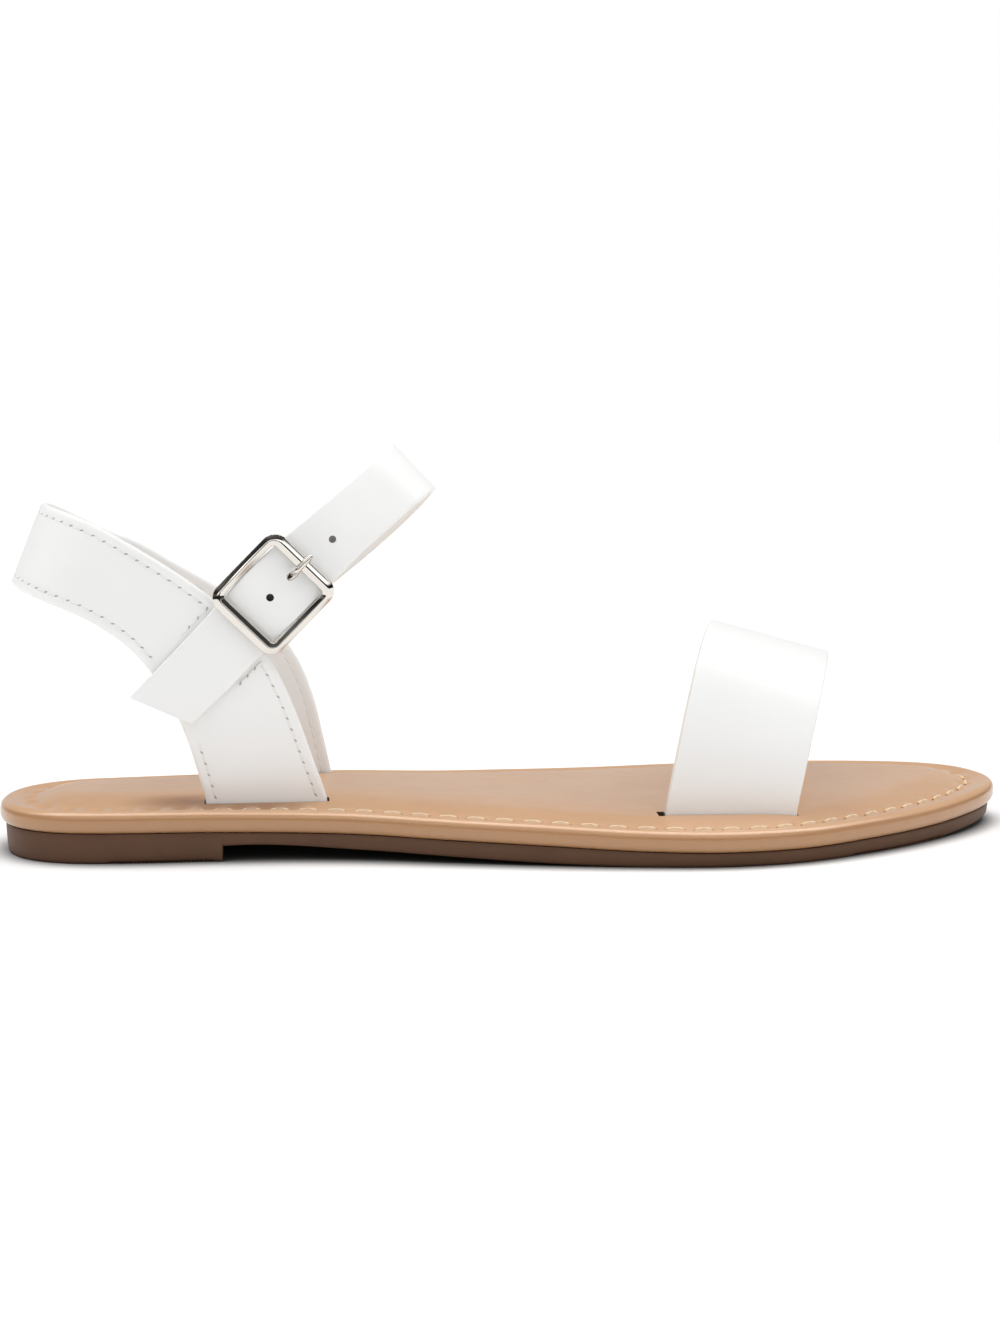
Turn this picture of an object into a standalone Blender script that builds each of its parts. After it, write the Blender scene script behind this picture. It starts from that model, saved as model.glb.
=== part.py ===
"""Right-foot ankle strap sandal: moulded outsole, wrapped footbed, straps and a buckle.

X runs from heel to toe, -Y is the lateral side, Z is up and the floor is Z = 0.
Tables and sizes are in millimetres, and stations are measured forward from the back of the heel.
"""

import math
from collections import namedtuple

import bmesh
import bpy
import numpy as np
from mathutils import Vector


def table(columns, *rows):
    """Rows whose values are read by the names of their columns."""
    row_type = namedtuple("Row", columns)
    return [row_type(*row) for row in rows]


MM = 0.001
LENGTH = 248.4
GAP = 0.3
SHARP_ANGLE = 40.0

Finish = namedtuple("Finish", "name colour roughness metallic")
RUBBER = Finish("brown moulded rubber", (0.115, 0.068, 0.042), 0.6, 0.0)
TAN_WRAP = Finish("tan wrapped footbed", (0.58, 0.36, 0.2), 0.5, 0.0)
SMOOTH_STRAP = Finish("white smooth strap", (0.86, 0.86, 0.85), 0.45, 0.0)
STITCHED_STRAP = Finish("white stitched strap", (0.84, 0.84, 0.83), 0.48, 0.0)
NICKEL = Finish("polished nickel", (0.78, 0.76, 0.73), 0.16, 1.0)
NICKEL_WIRE = Finish("nickel prong", (0.8, 0.78, 0.75), 0.2, 1.0)

# Sole: edges of the footbed in plan, height of the outsole's top at the lateral edge,
# extra height at the medial edge, and height of the tread
SOLE_ROWS = table(
    "station lateral medial seat arch tread",
    (0.0, 0.0, 0.0, 7.8, 0.0, 0.0),
    (6.0, -16.6, 16.0, 7.8, 0.0, 0.0),
    (15.0, -22.4, 21.8, 7.8, 0.0, 0.0),
    (30.0, -24.8, 24.2, 7.8, 0.0, 0.0),
    (52.7, -25.0, 26.0, 7.6, 0.3, 3.6),
    (85.0, -27.8, 28.8, 6.9, 0.8, 2.5),
    (105.0, -32.8, 30.4, 6.1, 0.8, 1.5),
    (125.0, -37.6, 33.6, 5.4, 0.9, 0.6),
    (150.0, -42.2, 40.2, 4.3, 1.0, 0.0),
    (168.0, -43.8, 43.6, 4.0, 1.1, 0.0),
    (185.0, -41.4, 44.0, 4.0, 1.1, 0.0),
    (205.0, -32.8, 41.8, 4.3, 1.3, 0.0),
    (225.0, -20.0, 36.4, 4.7, 1.5, 0.5),
    (236.0, -10.6, 31.0, 5.3, 1.3, 1.4),
    (243.8, -1.6, 24.4, 5.9, 0.8, 2.2),
    (248.4, 11.0, 11.0, 6.4, 0.0, 2.8),
)
SOLE_STATIONS = 44
LEAST_WIDTH = 1.0
HEEL_BREAST = 52.7
BREAST_DRAFT = 0.05
BREAST_CLEAR = 2.0

# Section of the footbed's rolled edge: distance in from its outline, height over its underside
FOOTBED_ROWS = table(
    "inset height",
    (1.7, 0.0),
    (0.4, 0.8),
    (0.0, 2.0),
    (0.4, 3.2),
    (1.4, 4.0),
    (3.0, 4.4),
    (5.4, 4.1),
    (7.0, 3.7),
    (8.6, 4.4),
    (10.4, 5.3),
    (12.2, 5.9),
    (14.0, 6.05),
)
FOOTBED_TOP = 6.05

# Section of the outsole's side: distance in from the footbed's outline, share of the side's height
OUTSOLE_ROWS = table(
    "inset share",
    (2.2, 0.0),
    (1.7, 0.14),
    (1.4, 0.6),
    (1.3, 0.92),
    (1.9, 1.0),
)

# Front strap: where its rear and front edges meet the footbed, how far they rise and lean forward
FRONT_ROWS = table(
    "foot_x lateral_y medial_y rise lean",
    (155.8, -27.5, 29.5, 40.9, 0.181),
    (187.4, -28.0, 32.7, 32.0, 0.203),
)
FRONT_SWING = 17.4
FRONT_FULLNESS = 0.8
FRONT_WALL = 1.8
FRONT_LEG = 1.0 / 12.0
FRONT_FACES = (36, 6)

# Slits of the footbed for the feet of the straps
SLIT_MIDDLE = 10.0
SLIT_HEIGHT = 30.0
FRONT_SLIT_TAIL = 3.2
FRONT_SLIT_SPARE = 0.6
QUARTER_SLIT_SPARE = 0.5
FOOT_LIFT = 0.6

# Heel strap: round the back of the heel, then down each side as a quarter.
# The quarters stand upright, and are drawn in from INWARD_FROM to where they enter the footbed
HEEL_RADIUS = 18.0
HEEL_TAPER = 0.12
HEEL_BACK = 4.7
HEEL_BACK_HEIGHT = 63.0
HEEL_LEAN = 0.405
HEEL_WALL = 2.0
HEEL_FACES = (52, 5)
TURN_ROWS = table(
    "turn upper_z lower_z medial_z",
    (0.0, 82.1, 63.0, 0.0),
    (30.0, 81.6, 62.3, -0.5),
    (60.0, 80.0, 60.2, -1.2),
    (90.0, 76.8, 57.2, -0.9),
)
QUARTER_ROWS = table(
    "upper_x upper_z lower_x lower_z medial_x",
    (35.4, 71.7, 27.0, 53.4, 0.0),
    (44.3, 66.0, 32.6, 48.9, 0.5),
    (51.7, 60.4, 37.5, 43.0, 1.6),
    (58.2, 54.2, 40.8, 37.2, 3.2),
    (63.9, 47.1, 43.4, 31.7, 4.2),
    (67.5, 40.5, 45.2, 26.6, 4.6),
    (70.7, 32.5, 46.5, 22.2, 4.4),
    (74.0, 22.7, 47.6, 18.0, 3.4),
    (77.1, 13.4, 48.8, 13.4, 2.2),
)
QUARTER_FOOT = (77.5, 48.9)
LATERAL_FOOT = 14.0
MEDIAL_FOOT = 15.8
INWARD_FROM = 40.0
INWARD_TO = 14.5

# Ankle strap: middle line, width, how steeply its width falls in side view,
# how far its lower edge stands out sideways, and the slant of its cut end
ANKLE_ROWS = table(
    "x y z width fall flare slant",
    (39.2, -19.4, 35.0, 14.6, 45.0, 1.5, 5.4),
    (47.4, -20.0, 43.1, 15.0, 44.0, 0.3, 2.0),
    (55.6, -20.1, 51.6, 15.2, 44.0, 0.0, 0.0),
    (59.1, -20.2, 55.4, 15.0, 44.5, 0.0, 0.0),
    (65.3, -21.3, 61.9, 15.0, 45.0, 0.0, 0.0),
    (72.0, -20.2, 68.2, 15.0, 47.0, 0.0, 0.0),
    (81.0, -17.8, 76.2, 14.4, 49.0, 0.0, 0.0),
    (89.2, -13.2, 82.9, 14.1, 48.2, -1.6, 0.0),
    (95.7, -7.5, 88.0, 14.2, 47.5, -3.0, 0.0),
    (99.0, 0.0, 89.9, 14.4, 47.0, -3.0, 0.0),
    (96.5, 7.2, 85.8, 14.4, 47.0, -1.0, 0.0),
    (90.8, 13.2, 79.6, 14.4, 47.5, 0.0, 0.0),
    (82.4, 17.6, 71.9, 14.4, 47.0, 0.0, 0.0),
    (70.6, 19.5, 62.4, 14.8, 45.5, 0.0, 0.0),
    (59.6, 19.5, 53.6, 15.2, 44.5, 0.0, 0.0),
    (50.6, 19.5, 44.6, 15.2, 44.0, 0.0, 0.0),
)
ANKLE_WALL = 1.6
ANKLE_FACES = (60, 4)

# Buckle: its own directions are along the strap, across it, and outward from the quarter
BUCKLE_CENTRE = (65.3, 61.9)
BUCKLE_TILT = 45.4
WINDOW_ALONG = 16.4
WINDOW_ACROSS = 15.8
END_BAR = 3.1
SIDE_BAR = 2.5
BAR_DEPTH = 2.6
BAR_FULLNESS = 0.7
BAR_SECTIONS = 12
OUTER_CORNER = 3.6
INNER_CORNER = 0.9
CORNER_STEPS = 6
FRAME_LIFT = 3.7
FRAME_BOW = 1.0
BOW_SHARES = (0.6, 0.2, -0.2, -0.6)
ROUND_SIDES = 16
PIN_RADIUS = 0.95
PIN_DEPTH = -1.3
EAR_RADIUS = 1.0
EAR_REACH = 1.14

# Tab of the lateral quarter that is folded round the buckle's pin
TAB_WALL = 1.0
TAB_WIDTH = 13.0
TAB_REACH = 13.5
TAB_SINK = 0.35
TAB_TURN = 95.0
TAB_STEPS = 10

# Prong: a wire loop on the pin, then its way up through the strap and over the far bar
PRONG_RADIUS = 0.6
PRONG_SIDES = 2
PRONG_SLOT = (8.0, 2.4, 12.0)
PRONG_TURNS = (-10.0, -270.0)
PRONG_STEPS = 10
PRONG_ROWS = table(
    "along outward",
    (3.0, 0.2),
    (4.8, 0.3),
    (6.0, 1.2),
    (6.7, 2.6),
    (6.9, 4.2),
    (7.3, 5.4),
    (8.3, 6.0),
    (10.3, 6.0),
    (12.6, 5.4),
)

# Holes of the ankle strap: place in the buckle's directions, half length and half width
HOLE_ROWS = table(
    "along across half_length half_width",
    (-1.1, 0.0, 0.9, 0.9),
    (6.6, 0.0, 2.0, 1.1),
    (18.4, 1.1, 0.9, 0.9),
)
HOLE_DEPTH = 6.0


def clear_scene():
    for obj in list(bpy.data.objects):
        bpy.data.objects.remove(obj, do_unlink=True)


def column(rows, name):
    return np.array([getattr(row, name) for row in rows])


def smooth(x, xs, ys):
    """Cubic through (xs, ys), with flat stretches kept flat."""
    x, xs, ys = np.asarray(x, float), np.asarray(xs, float), np.asarray(ys, float)
    step = np.diff(xs)
    slope = np.diff(ys) / step
    mean = (slope[:-1] * step[1:] + slope[1:] * step[:-1]) / (step[:-1] + step[1:])
    inner = np.where(slope[:-1] * slope[1:] == 0, 0.0, mean)
    first = 1.5 * slope[0] - 0.5 * inner[0]
    last = 1.5 * slope[-1] - 0.5 * inner[-1]
    tangent = np.concatenate(([first], inner, [last]))
    k = np.clip(np.searchsorted(xs, x, side="right") - 1, 0, len(step) - 1)
    t = (x - xs[k]) / step[k]
    rise = (3 - 2 * t) * t * t
    start = tangent[k] * step[k] * t * (1 - t) ** 2
    end = tangent[k + 1] * step[k] * t * t * (t - 1)
    return ys[k] * (1 - rise) + ys[k + 1] * rise + start + end


def round_angle(station):
    """Angle that runs evenly round the sole's ends, so that heel and toe close as round curves."""
    return np.arccos(np.clip(1 - 2 * np.asarray(station, float) / LENGTH, -1, 1))


def sole_edge(station, side):
    rows_angle = round_angle(column(SOLE_ROWS, "station"))
    return smooth(round_angle(station), rows_angle, column(SOLE_ROWS, side))


def seat_height(station, y):
    """Height of the joint between outsole and footbed, raised towards the medial edge."""
    rows = column(SOLE_ROWS, "station")
    station = np.clip(station, 0, LENGTH)
    lateral = sole_edge(station, "lateral")
    width = np.maximum(sole_edge(station, "medial") - lateral, LEAST_WIDTH)
    share = np.clip((y - lateral) / width, 0, 1)
    base = smooth(station, rows, column(SOLE_ROWS, "seat"))
    return base + share * smooth(station, rows, column(SOLE_ROWS, "arch"))


def tread_height(station):
    """Flat under the heel block, then down from the breast to the flat forefoot and up at the toe."""
    height = smooth(station, column(SOLE_ROWS, "station"), column(SOLE_ROWS, "tread"))
    return np.where(np.asarray(station) <= HEEL_BREAST, 0.0, height)


def sole_stations():
    angles = np.linspace(0, math.pi, SOLE_STATIONS + 1)
    even = LENGTH / 2 * (1 - np.cos(angles))
    clear = even[np.abs(even - HEEL_BREAST) > BREAST_CLEAR]
    return np.sort(np.append(clear, (HEEL_BREAST, HEEL_BREAST + BREAST_DRAFT)))


def sole_ring(inset):
    """Points round the sole, set in from its outline: station, and x and y of each."""
    stations = sole_stations()
    lateral = np.column_stack((stations, sole_edge(stations, "lateral")))
    medial = np.column_stack((stations, sole_edge(stations, "medial")))[-2:0:-1]
    outline = np.concatenate((lateral, medial))
    ahead = np.roll(outline, -1, axis=0) - np.roll(outline, 1, axis=0)
    ahead /= np.linalg.norm(ahead, axis=1)[:, None]
    inward = np.column_stack((-ahead[:, 1], ahead[:, 0]))
    return outline[:, 0], outline + inset * inward


def world(station, y, z):
    return Vector(((station - LENGTH / 2) * MM, y * MM, z * MM))


def loft(bm, rings):
    """Walls between closed rings of matching points."""
    loops = [[bm.verts.new(point) for point in ring] for ring in rings]
    for low, high in zip(loops, loops[1:]):
        bridge(bm, low, high)
    return loops


def bridge(bm, low, high):
    for i in range(len(low)):
        j = (i + 1) % len(low)
        bm.faces.new((low[i], low[j], high[j], high[i]))


def close_across(bm, loop):
    """Strips from the lateral to the medial side close a sole ring."""
    half = len(loop) // 2
    lateral = loop[1:half]
    medial = loop[:half:-1]
    bm.faces.new((loop[0], lateral[0], medial[0]))
    for i in range(half - 2):
        bm.faces.new((lateral[i], lateral[i + 1], medial[i + 1], medial[i]))
    bm.faces.new((lateral[-1], loop[half], medial[-1]))


def make_material(finish):
    colour = (*finish.colour, 1.0)
    material = bpy.data.materials.new(finish.name)
    material.use_nodes = True
    shader = material.node_tree.nodes["Principled BSDF"]
    shader.inputs["Base Color"].default_value = colour
    shader.inputs["Roughness"].default_value = finish.roughness
    shader.inputs["Metallic"].default_value = finish.metallic
    material.diffuse_color = colour
    return material


def make_object(name, bm, collection, finish=None):
    bm.normal_update()
    bmesh.ops.recalc_face_normals(bm, faces=bm.faces)
    mesh = bpy.data.meshes.new(name)
    bm.to_mesh(mesh)
    bm.free()
    mesh.shade_smooth()
    mesh.set_sharp_from_angle(angle=math.radians(SHARP_ANGLE))
    obj = bpy.data.objects.new(name, mesh)
    collection.objects.link(obj)
    if finish:
        mesh.materials.append(make_material(finish))
    return obj


def make_helper(name, bm, collection):
    obj = make_object(name, bm, collection)
    obj.hide_render = True
    obj.display_type = "WIRE"
    return obj


def add_boolean(obj, other, operation):
    modifier = obj.modifiers.new(other.name, "BOOLEAN")
    modifier.operation = operation
    modifier.solver = "EXACT"
    modifier.object = other


def add_wall(obj, thickness):
    modifier = obj.modifiers.new("Wall", "SOLIDIFY")
    modifier.thickness = thickness * MM
    modifier.offset = 0.0
    modifier.use_even_offset = True


def sheet(faces, place):
    """Grid of faces along and across, each point put on the strap by place(share along, share across)."""
    bm = bmesh.new()
    bmesh.ops.create_grid(bm, x_segments=faces[0], y_segments=faces[1], size=0.5)
    for vert in bm.verts:
        vert.co = place(vert.co.x + 0.5, vert.co.y + 0.5)
    return bm


def make_outsole(collection):
    bm = bmesh.new()
    rings = []
    for row in OUTSOLE_ROWS:
        station, points = sole_ring(row.inset)
        tread = tread_height(station)
        seat = seat_height(points[:, 0], points[:, 1]) - GAP / 2
        heights = tread + row.share * (seat - tread)
        rings.append([world(x, y, z) for (x, y), z in zip(points, heights)])
    loops = loft(bm, rings)
    close_across(bm, loops[0])
    close_across(bm, loops[-1])
    return make_object("outsole", bm, collection, RUBBER)


def make_footbed(collection, slits):
    bm = bmesh.new()
    rings = []
    for row in FOOTBED_ROWS:
        points = sole_ring(row.inset)[1]
        heights = seat_height(points[:, 0], points[:, 1]) + GAP / 2 + row.height
        rings.append([world(x, y, z) for (x, y), z in zip(points, heights)])
    loops = loft(bm, rings)
    close_across(bm, loops[0])
    close_across(bm, loops[-1])
    footbed = make_object("footbed", bm, collection, TAN_WRAP)
    for slit in slits:
        add_boolean(footbed, slit, "DIFFERENCE")
    return footbed


def front_edge(row, share):
    """Point of one edge of the front strap, from its lateral foot over the arch to its medial foot."""
    turn = math.pi * share
    swell = abs(math.cos(turn)) ** FRONT_FULLNESS
    reach = 0.5 - 0.5 * math.copysign(swell, math.cos(turn))
    y = row.lateral_y + reach * (row.medial_y - row.lateral_y)
    climb = row.rise * max(math.sin(turn), 0.0) ** FRONT_FULLNESS
    foot_x = row.foot_x + FRONT_SWING * reach
    foot_z = seat_height(foot_x, y) + FOOTBED_TOP
    return Vector((foot_x + row.lean * climb, y, foot_z + climb))


def front_point(along, across):
    """The strap's two ends run down through the footbed."""
    share = min(max((along - FRONT_LEG) / (1 - 2 * FRONT_LEG), 0.0), 1.0)
    rear, front = (front_edge(row, share) for row in FRONT_ROWS)
    point = rear.lerp(front, across)
    buried = max(FRONT_LEG - along, along - 1 + FRONT_LEG, 0.0) / FRONT_LEG
    foot_z = seat_height(point.x, point.y) + FOOT_LIFT
    point.z += buried * (foot_z - point.z)
    return world(*point)


def make_front_strap(collection):
    strap = make_object("front_strap", sheet(FRONT_FACES, front_point), collection, SMOOTH_STRAP)
    add_wall(strap, FRONT_WALL)
    return strap


def make_slit(name, rear, front, spare, wall, collection):
    """Cutter along a strap's foot, with some spare length behind and ahead of it."""
    ahead = Vector((front.x - rear.x, front.y - rear.y, 0.0)).normalized()
    side = Vector((-ahead.y, ahead.x, 0.0))
    start = rear - ahead * spare[0]
    end = front + ahead * spare[1]
    bm = bmesh.new()
    bmesh.ops.create_cube(bm, size=1.0)
    for vert in bm.verts:
        spot = start.lerp(end, vert.co.x + 0.5) + side * vert.co.y * (wall + 2 * GAP)
        vert.co = world(spot.x, spot.y, SLIT_MIDDLE + SLIT_HEIGHT * vert.co.z)
    return make_helper(name, bm, collection)


def make_front_slit(name, share, collection):
    rear, front = (front_edge(row, share) for row in FRONT_ROWS)
    spare = (FRONT_SLIT_TAIL, FRONT_SLIT_SPARE)
    return make_slit(name, rear, front, spare, FRONT_WALL, collection)


def make_quarter_slit(name, side, collection):
    upper, lower = quarter_edges(side)
    spare = (QUARTER_SLIT_SPARE, QUARTER_SLIT_SPARE)
    return make_slit(name, lower[-1], upper[-1], spare, HEEL_WALL, collection)


def heel_back(z):
    return HEEL_BACK + HEEL_LEAN * (z - HEEL_BACK_HEIGHT)


def heel_radius(z):
    """Upright up to the lower edge of the heel band, then narrowing like a cone."""
    return HEEL_RADIUS - HEEL_TAPER * max(z - HEEL_BACK_HEIGHT, 0.0)


def quarter_y(side, z):
    """Upright side of the heel, drawn in towards the footbed below the ankle."""
    foot = MEDIAL_FOOT if side > 0 else LATERAL_FOOT
    share = min(max((z - INWARD_TO) / (INWARD_FROM - INWARD_TO), 0.0), 1.0)
    return side * (foot + share * (heel_radius(z) - foot))


def quarter_edges(side):
    """Upper and lower edge points from the side of the heel down to the footbed, for side -1 or 1."""
    upper, lower = [], []
    for row in QUARTER_ROWS:
        ahead = row.medial_x if side > 0 else 0.0
        upper.append(Vector((row.upper_x + ahead, quarter_y(side, row.upper_z), row.upper_z)))
        lower.append(Vector((row.lower_x + ahead / 2, quarter_y(side, row.lower_z), row.lower_z)))
    y = quarter_y(side, INWARD_TO)
    for edge, foot_x, forward in ((upper, QUARTER_FOOT[0], ahead), (lower, QUARTER_FOOT[1], ahead / 2)):
        x = foot_x + forward
        edge.append(Vector((x, y, seat_height(x, y) + FOOT_LIFT)))
    return upper, lower


def turn_edges(side):
    """Upper and lower edge points round the back of the heel, from the middle to one side."""
    upper, lower = [], []
    for row in TURN_ROWS:
        angle = math.radians(row.turn)
        upper_z = row.upper_z + (row.medial_z if side > 0 else 0.0)
        for edge, z in ((upper, upper_z), (lower, row.lower_z)):
            radius = heel_radius(z)
            x = heel_back(z) + radius * (1 - math.cos(angle))
            edge.append(Vector((x, side * radius * math.sin(angle), z)))
    return upper, lower


def heel_strap_edges():
    """Both edges of the heel strap, from the lateral foot round the heel to the medial foot."""
    upper, lower = [], []
    for side in (-1, 1):
        halves = zip((upper, lower), turn_edges(side), quarter_edges(side))
        for edge, turned, quarter in halves:
            half = turned + quarter
            edge.extend(half[::-1] if side < 0 else half[1:])
    return np.array(upper), np.array(lower)


def through_rows(share, points):
    """Smooth point at a share of the way through evenly counted rows of points."""
    at = share * (len(points) - 1)
    counts = np.arange(len(points))
    return np.array([smooth(at, counts, points[:, axis]) for axis in range(points.shape[1])])


def make_heel_strap(collection):
    upper, lower = heel_strap_edges()

    def place(along, across):
        low, high = through_rows(along, lower), through_rows(along, upper)
        return world(*(low + across * (high - low)))

    strap = make_object("heel_and_ankle_strap", sheet(HEEL_FACES, place), collection, STITCHED_STRAP)
    add_wall(strap, HEEL_WALL)
    return strap


def make_ankle_strap(collection):
    rows = np.array(ANKLE_ROWS)
    tail, second = ANKLE_ROWS[:2]
    tail_ahead = Vector((second.x - tail.x, second.z - tail.z)).normalized()

    def place(along, across):
        x, y, z, width, fall, flare, slant = through_rows(along, rows)
        out = across - 0.5
        drop = math.radians(fall)
        x += out * (width * math.cos(drop) + slant * tail_ahead[0])
        z += out * (slant * tail_ahead[1] - width * math.sin(drop))
        return world(x, y + out * flare, z)

    strap = make_helper("ankle_strap", sheet(ANKLE_FACES, place), collection)
    add_wall(strap, ANKLE_WALL)
    for number, row in enumerate(HOLE_ROWS):
        ends = [(row.along, row.across, depth) for depth in (-HOLE_DEPTH, HOLE_DEPTH)]
        radii = (row.half_length, row.half_width)
        hole = buckle_cylinder(f"strap_hole_{number}", radii, *ends, collection)
        add_boolean(strap, hole, "DIFFERENCE")
    return strap


def buckle_point(along, across, outward):
    """World point from the buckle's own directions, measured from the outer face of the quarter."""
    tilt = math.radians(BUCKLE_TILT)
    x = BUCKLE_CENTRE[0] + along * math.cos(tilt) + across * math.sin(tilt)
    z = BUCKLE_CENTRE[1] + along * math.sin(tilt) - across * math.cos(tilt)
    return world(x, -(HEEL_RADIUS + HEEL_WALL / 2 + outward), z)


def buckle_cylinder(name, radii, start, end, collection):
    """Closed round or oval cylinder between two points given as (along, across, outward)."""
    bm = bmesh.new()
    bmesh.ops.create_cone(bm, cap_ends=True, segments=ROUND_SIDES, radius1=1.0, radius2=1.0, depth=1.0)
    axis = Vector(end) - Vector(start)
    turn = axis.to_track_quat("Z", "Y")
    middle = (Vector(start) + Vector(end)) / 2
    for vert in bm.verts:
        local = Vector((vert.co.x * radii[0], vert.co.y * radii[1], vert.co.z * axis.length))
        vert.co = buckle_point(*(middle + turn @ local))
    return make_helper(name, bm, collection)


def swell(value):
    """Rounded bar section, a little fuller than a circle."""
    return math.copysign(abs(value) ** BAR_FULLNESS, value)


def frame_ring(share, outward):
    """Rounded rectangle a share of the way out over the frame's bars, bowed at mid-length."""
    half_along = WINDOW_ALONG / 2 + END_BAR * share
    half_across = WINDOW_ACROSS / 2 + SIDE_BAR * share
    corner = INNER_CORNER + (OUTER_CORNER - INNER_CORNER) * share
    points = []
    for quarter in range(4):
        middle = (quarter + 0.5) * math.pi / 2
        sign_along = math.copysign(1, math.cos(middle))
        sign_across = math.copysign(1, math.sin(middle))
        for step in range(CORNER_STEPS + 1):
            angle = (quarter + step / CORNER_STEPS) * math.pi / 2
            along = sign_along * (half_along - corner) + corner * math.cos(angle)
            across = sign_across * (half_across - corner) + corner * math.sin(angle)
            points.append((along, across))
        if quarter % 2 == 0:
            points.extend((along * part, across) for part in BOW_SHARES)
    bow = [FRAME_BOW * (1 - (along / half_along) ** 2) for along, across in points]
    return [buckle_point(*point, outward - dip) for point, dip in zip(points, bow)]


def make_buckle_frame(collection, helpers):
    bm = bmesh.new()
    rings = []
    for step in range(BAR_SECTIONS):
        angle = 2 * math.pi * step / BAR_SECTIONS
        share = 0.5 + 0.5 * swell(math.cos(angle))
        lift = BAR_DEPTH / 2 * swell(math.sin(angle))
        rings.append(frame_ring(share, FRAME_LIFT + lift))
    loops = loft(bm, rings)
    bridge(bm, loops[-1], loops[0])
    frame = make_object("buckle_frame", bm, collection, NICKEL)
    ear_middle = WINDOW_ACROSS / 2 + SIDE_BAR - EAR_RADIUS - GAP / 2
    pin_end = ear_middle + EAR_RADIUS / 3
    add_boolean(frame, make_pin("centre_pin", PIN_RADIUS, pin_end, helpers), "UNION")
    for name, side in (("ear_upper", -1), ("ear_lower", 1)):
        foot = (0, side * ear_middle, PIN_DEPTH - EAR_REACH)
        head = (0, side * ear_middle, FRAME_LIFT - FRAME_BOW)
        ear = buckle_cylinder(name, (EAR_RADIUS, EAR_RADIUS), foot, head, helpers)
        add_boolean(frame, ear, "UNION")
    return frame


def make_pin(name, radius, half_length, helpers):
    start = (0, -half_length, PIN_DEPTH)
    end = (0, half_length, PIN_DEPTH)
    return buckle_cylinder(name, (radius, radius), start, end, helpers)


def pin_arc(radius, first, last, steps):
    """Points (along, outward) of an arc round the buckle's pin, between two angles in degrees."""
    angles = np.radians(np.linspace(first, last, steps + 1))
    return [(radius * math.cos(angle), PIN_DEPTH + radius * math.sin(angle)) for angle in angles]


def make_tab(collection):
    """Drop-shaped block of the folded tab, bored for the pin and slotted for the prong."""
    profile = pin_arc(PIN_RADIUS + GAP + TAB_WALL, -TAB_TURN, TAB_TURN, TAB_STEPS)
    profile += [(-TAB_REACH, -TAB_SINK), (-TAB_REACH, TAB_SINK - HEEL_WALL)]
    bm = bmesh.new()
    sides = (-TAB_WIDTH / 2, TAB_WIDTH / 2)
    rings = [[buckle_point(along, side, outward) for along, outward in profile] for side in sides]
    for loop in loft(bm, rings):
        bm.faces.new(loop)
    tab = make_helper("buckle_tab", bm, collection)
    bore = make_pin("pin_bore", PIN_RADIUS + GAP, TAB_WIDTH, collection)
    add_boolean(tab, bore, "DIFFERENCE")
    slot = bmesh.new()
    bmesh.ops.create_cube(slot, size=1.0)
    for vert in slot.verts:
        along, across, outward = (size * share for size, share in zip(PRONG_SLOT, vert.co))
        vert.co = buckle_point(along, across, PIN_DEPTH + outward)
    add_boolean(tab, make_helper("prong_slot", slot, collection), "DIFFERENCE")
    return tab


def make_prong(collection):
    path = pin_arc(PIN_RADIUS + GAP + PRONG_RADIUS, *PRONG_TURNS, PRONG_STEPS)
    path.extend(PRONG_ROWS)
    curve = bpy.data.curves.new("buckle_prong", "CURVE")
    curve.dimensions = "3D"
    curve.bevel_depth = PRONG_RADIUS * MM
    curve.bevel_resolution = PRONG_SIDES
    curve.use_fill_caps = True
    spline = curve.splines.new("POLY")
    spline.points.add(len(path) - 1)
    for spot, (along, outward) in zip(spline.points, path):
        spot.co = (*buckle_point(along, 0.0, outward), 1.0)
    curve.materials.append(make_material(NICKEL_WIRE))
    prong = bpy.data.objects.new("buckle_prong", curve)
    collection.objects.link(prong)
    return prong


def main():
    clear_scene()
    scene = bpy.context.scene
    scene.unit_settings.system = "METRIC"
    parts = bpy.data.collections.new("ankle_strap_sandal")
    helpers = bpy.data.collections.new("cutters")
    scene.collection.children.link(parts)
    scene.collection.children.link(helpers)

    slits = [
        make_front_slit("slit_front_lateral", 0.0, helpers),
        make_front_slit("slit_front_medial", 1.0, helpers),
        make_quarter_slit("slit_quarter_lateral", -1, helpers),
        make_quarter_slit("slit_quarter_medial", 1, helpers),
    ]
    make_outsole(parts)
    make_footbed(parts, slits)
    make_front_strap(parts)

    upper = make_heel_strap(parts)
    add_boolean(upper, make_tab(helpers), "UNION")
    add_boolean(upper, make_ankle_strap(helpers), "UNION")

    make_buckle_frame(parts, helpers)
    make_prong(parts)


main()
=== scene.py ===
import math

import bmesh
import bpy
import numpy as np
from mathutils import Matrix, Vector


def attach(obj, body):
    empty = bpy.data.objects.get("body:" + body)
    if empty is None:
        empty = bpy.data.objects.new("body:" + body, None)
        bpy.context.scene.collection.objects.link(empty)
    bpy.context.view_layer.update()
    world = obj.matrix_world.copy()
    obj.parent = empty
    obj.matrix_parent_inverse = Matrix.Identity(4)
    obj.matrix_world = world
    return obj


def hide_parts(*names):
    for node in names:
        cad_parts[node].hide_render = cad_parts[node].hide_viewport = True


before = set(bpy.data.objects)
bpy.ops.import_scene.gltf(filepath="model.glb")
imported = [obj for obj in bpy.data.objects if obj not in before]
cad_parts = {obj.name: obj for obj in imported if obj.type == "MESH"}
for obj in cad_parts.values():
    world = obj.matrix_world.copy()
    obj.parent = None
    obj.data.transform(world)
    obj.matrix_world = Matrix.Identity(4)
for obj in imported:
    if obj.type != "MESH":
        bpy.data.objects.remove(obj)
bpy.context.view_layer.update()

mm = 0.001  # sizes below are in millimetres, stations run from the back of the heel to the toe
scene = bpy.context.scene
print("sandal: frame loaded")


# Helpers shared by all pieces

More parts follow.
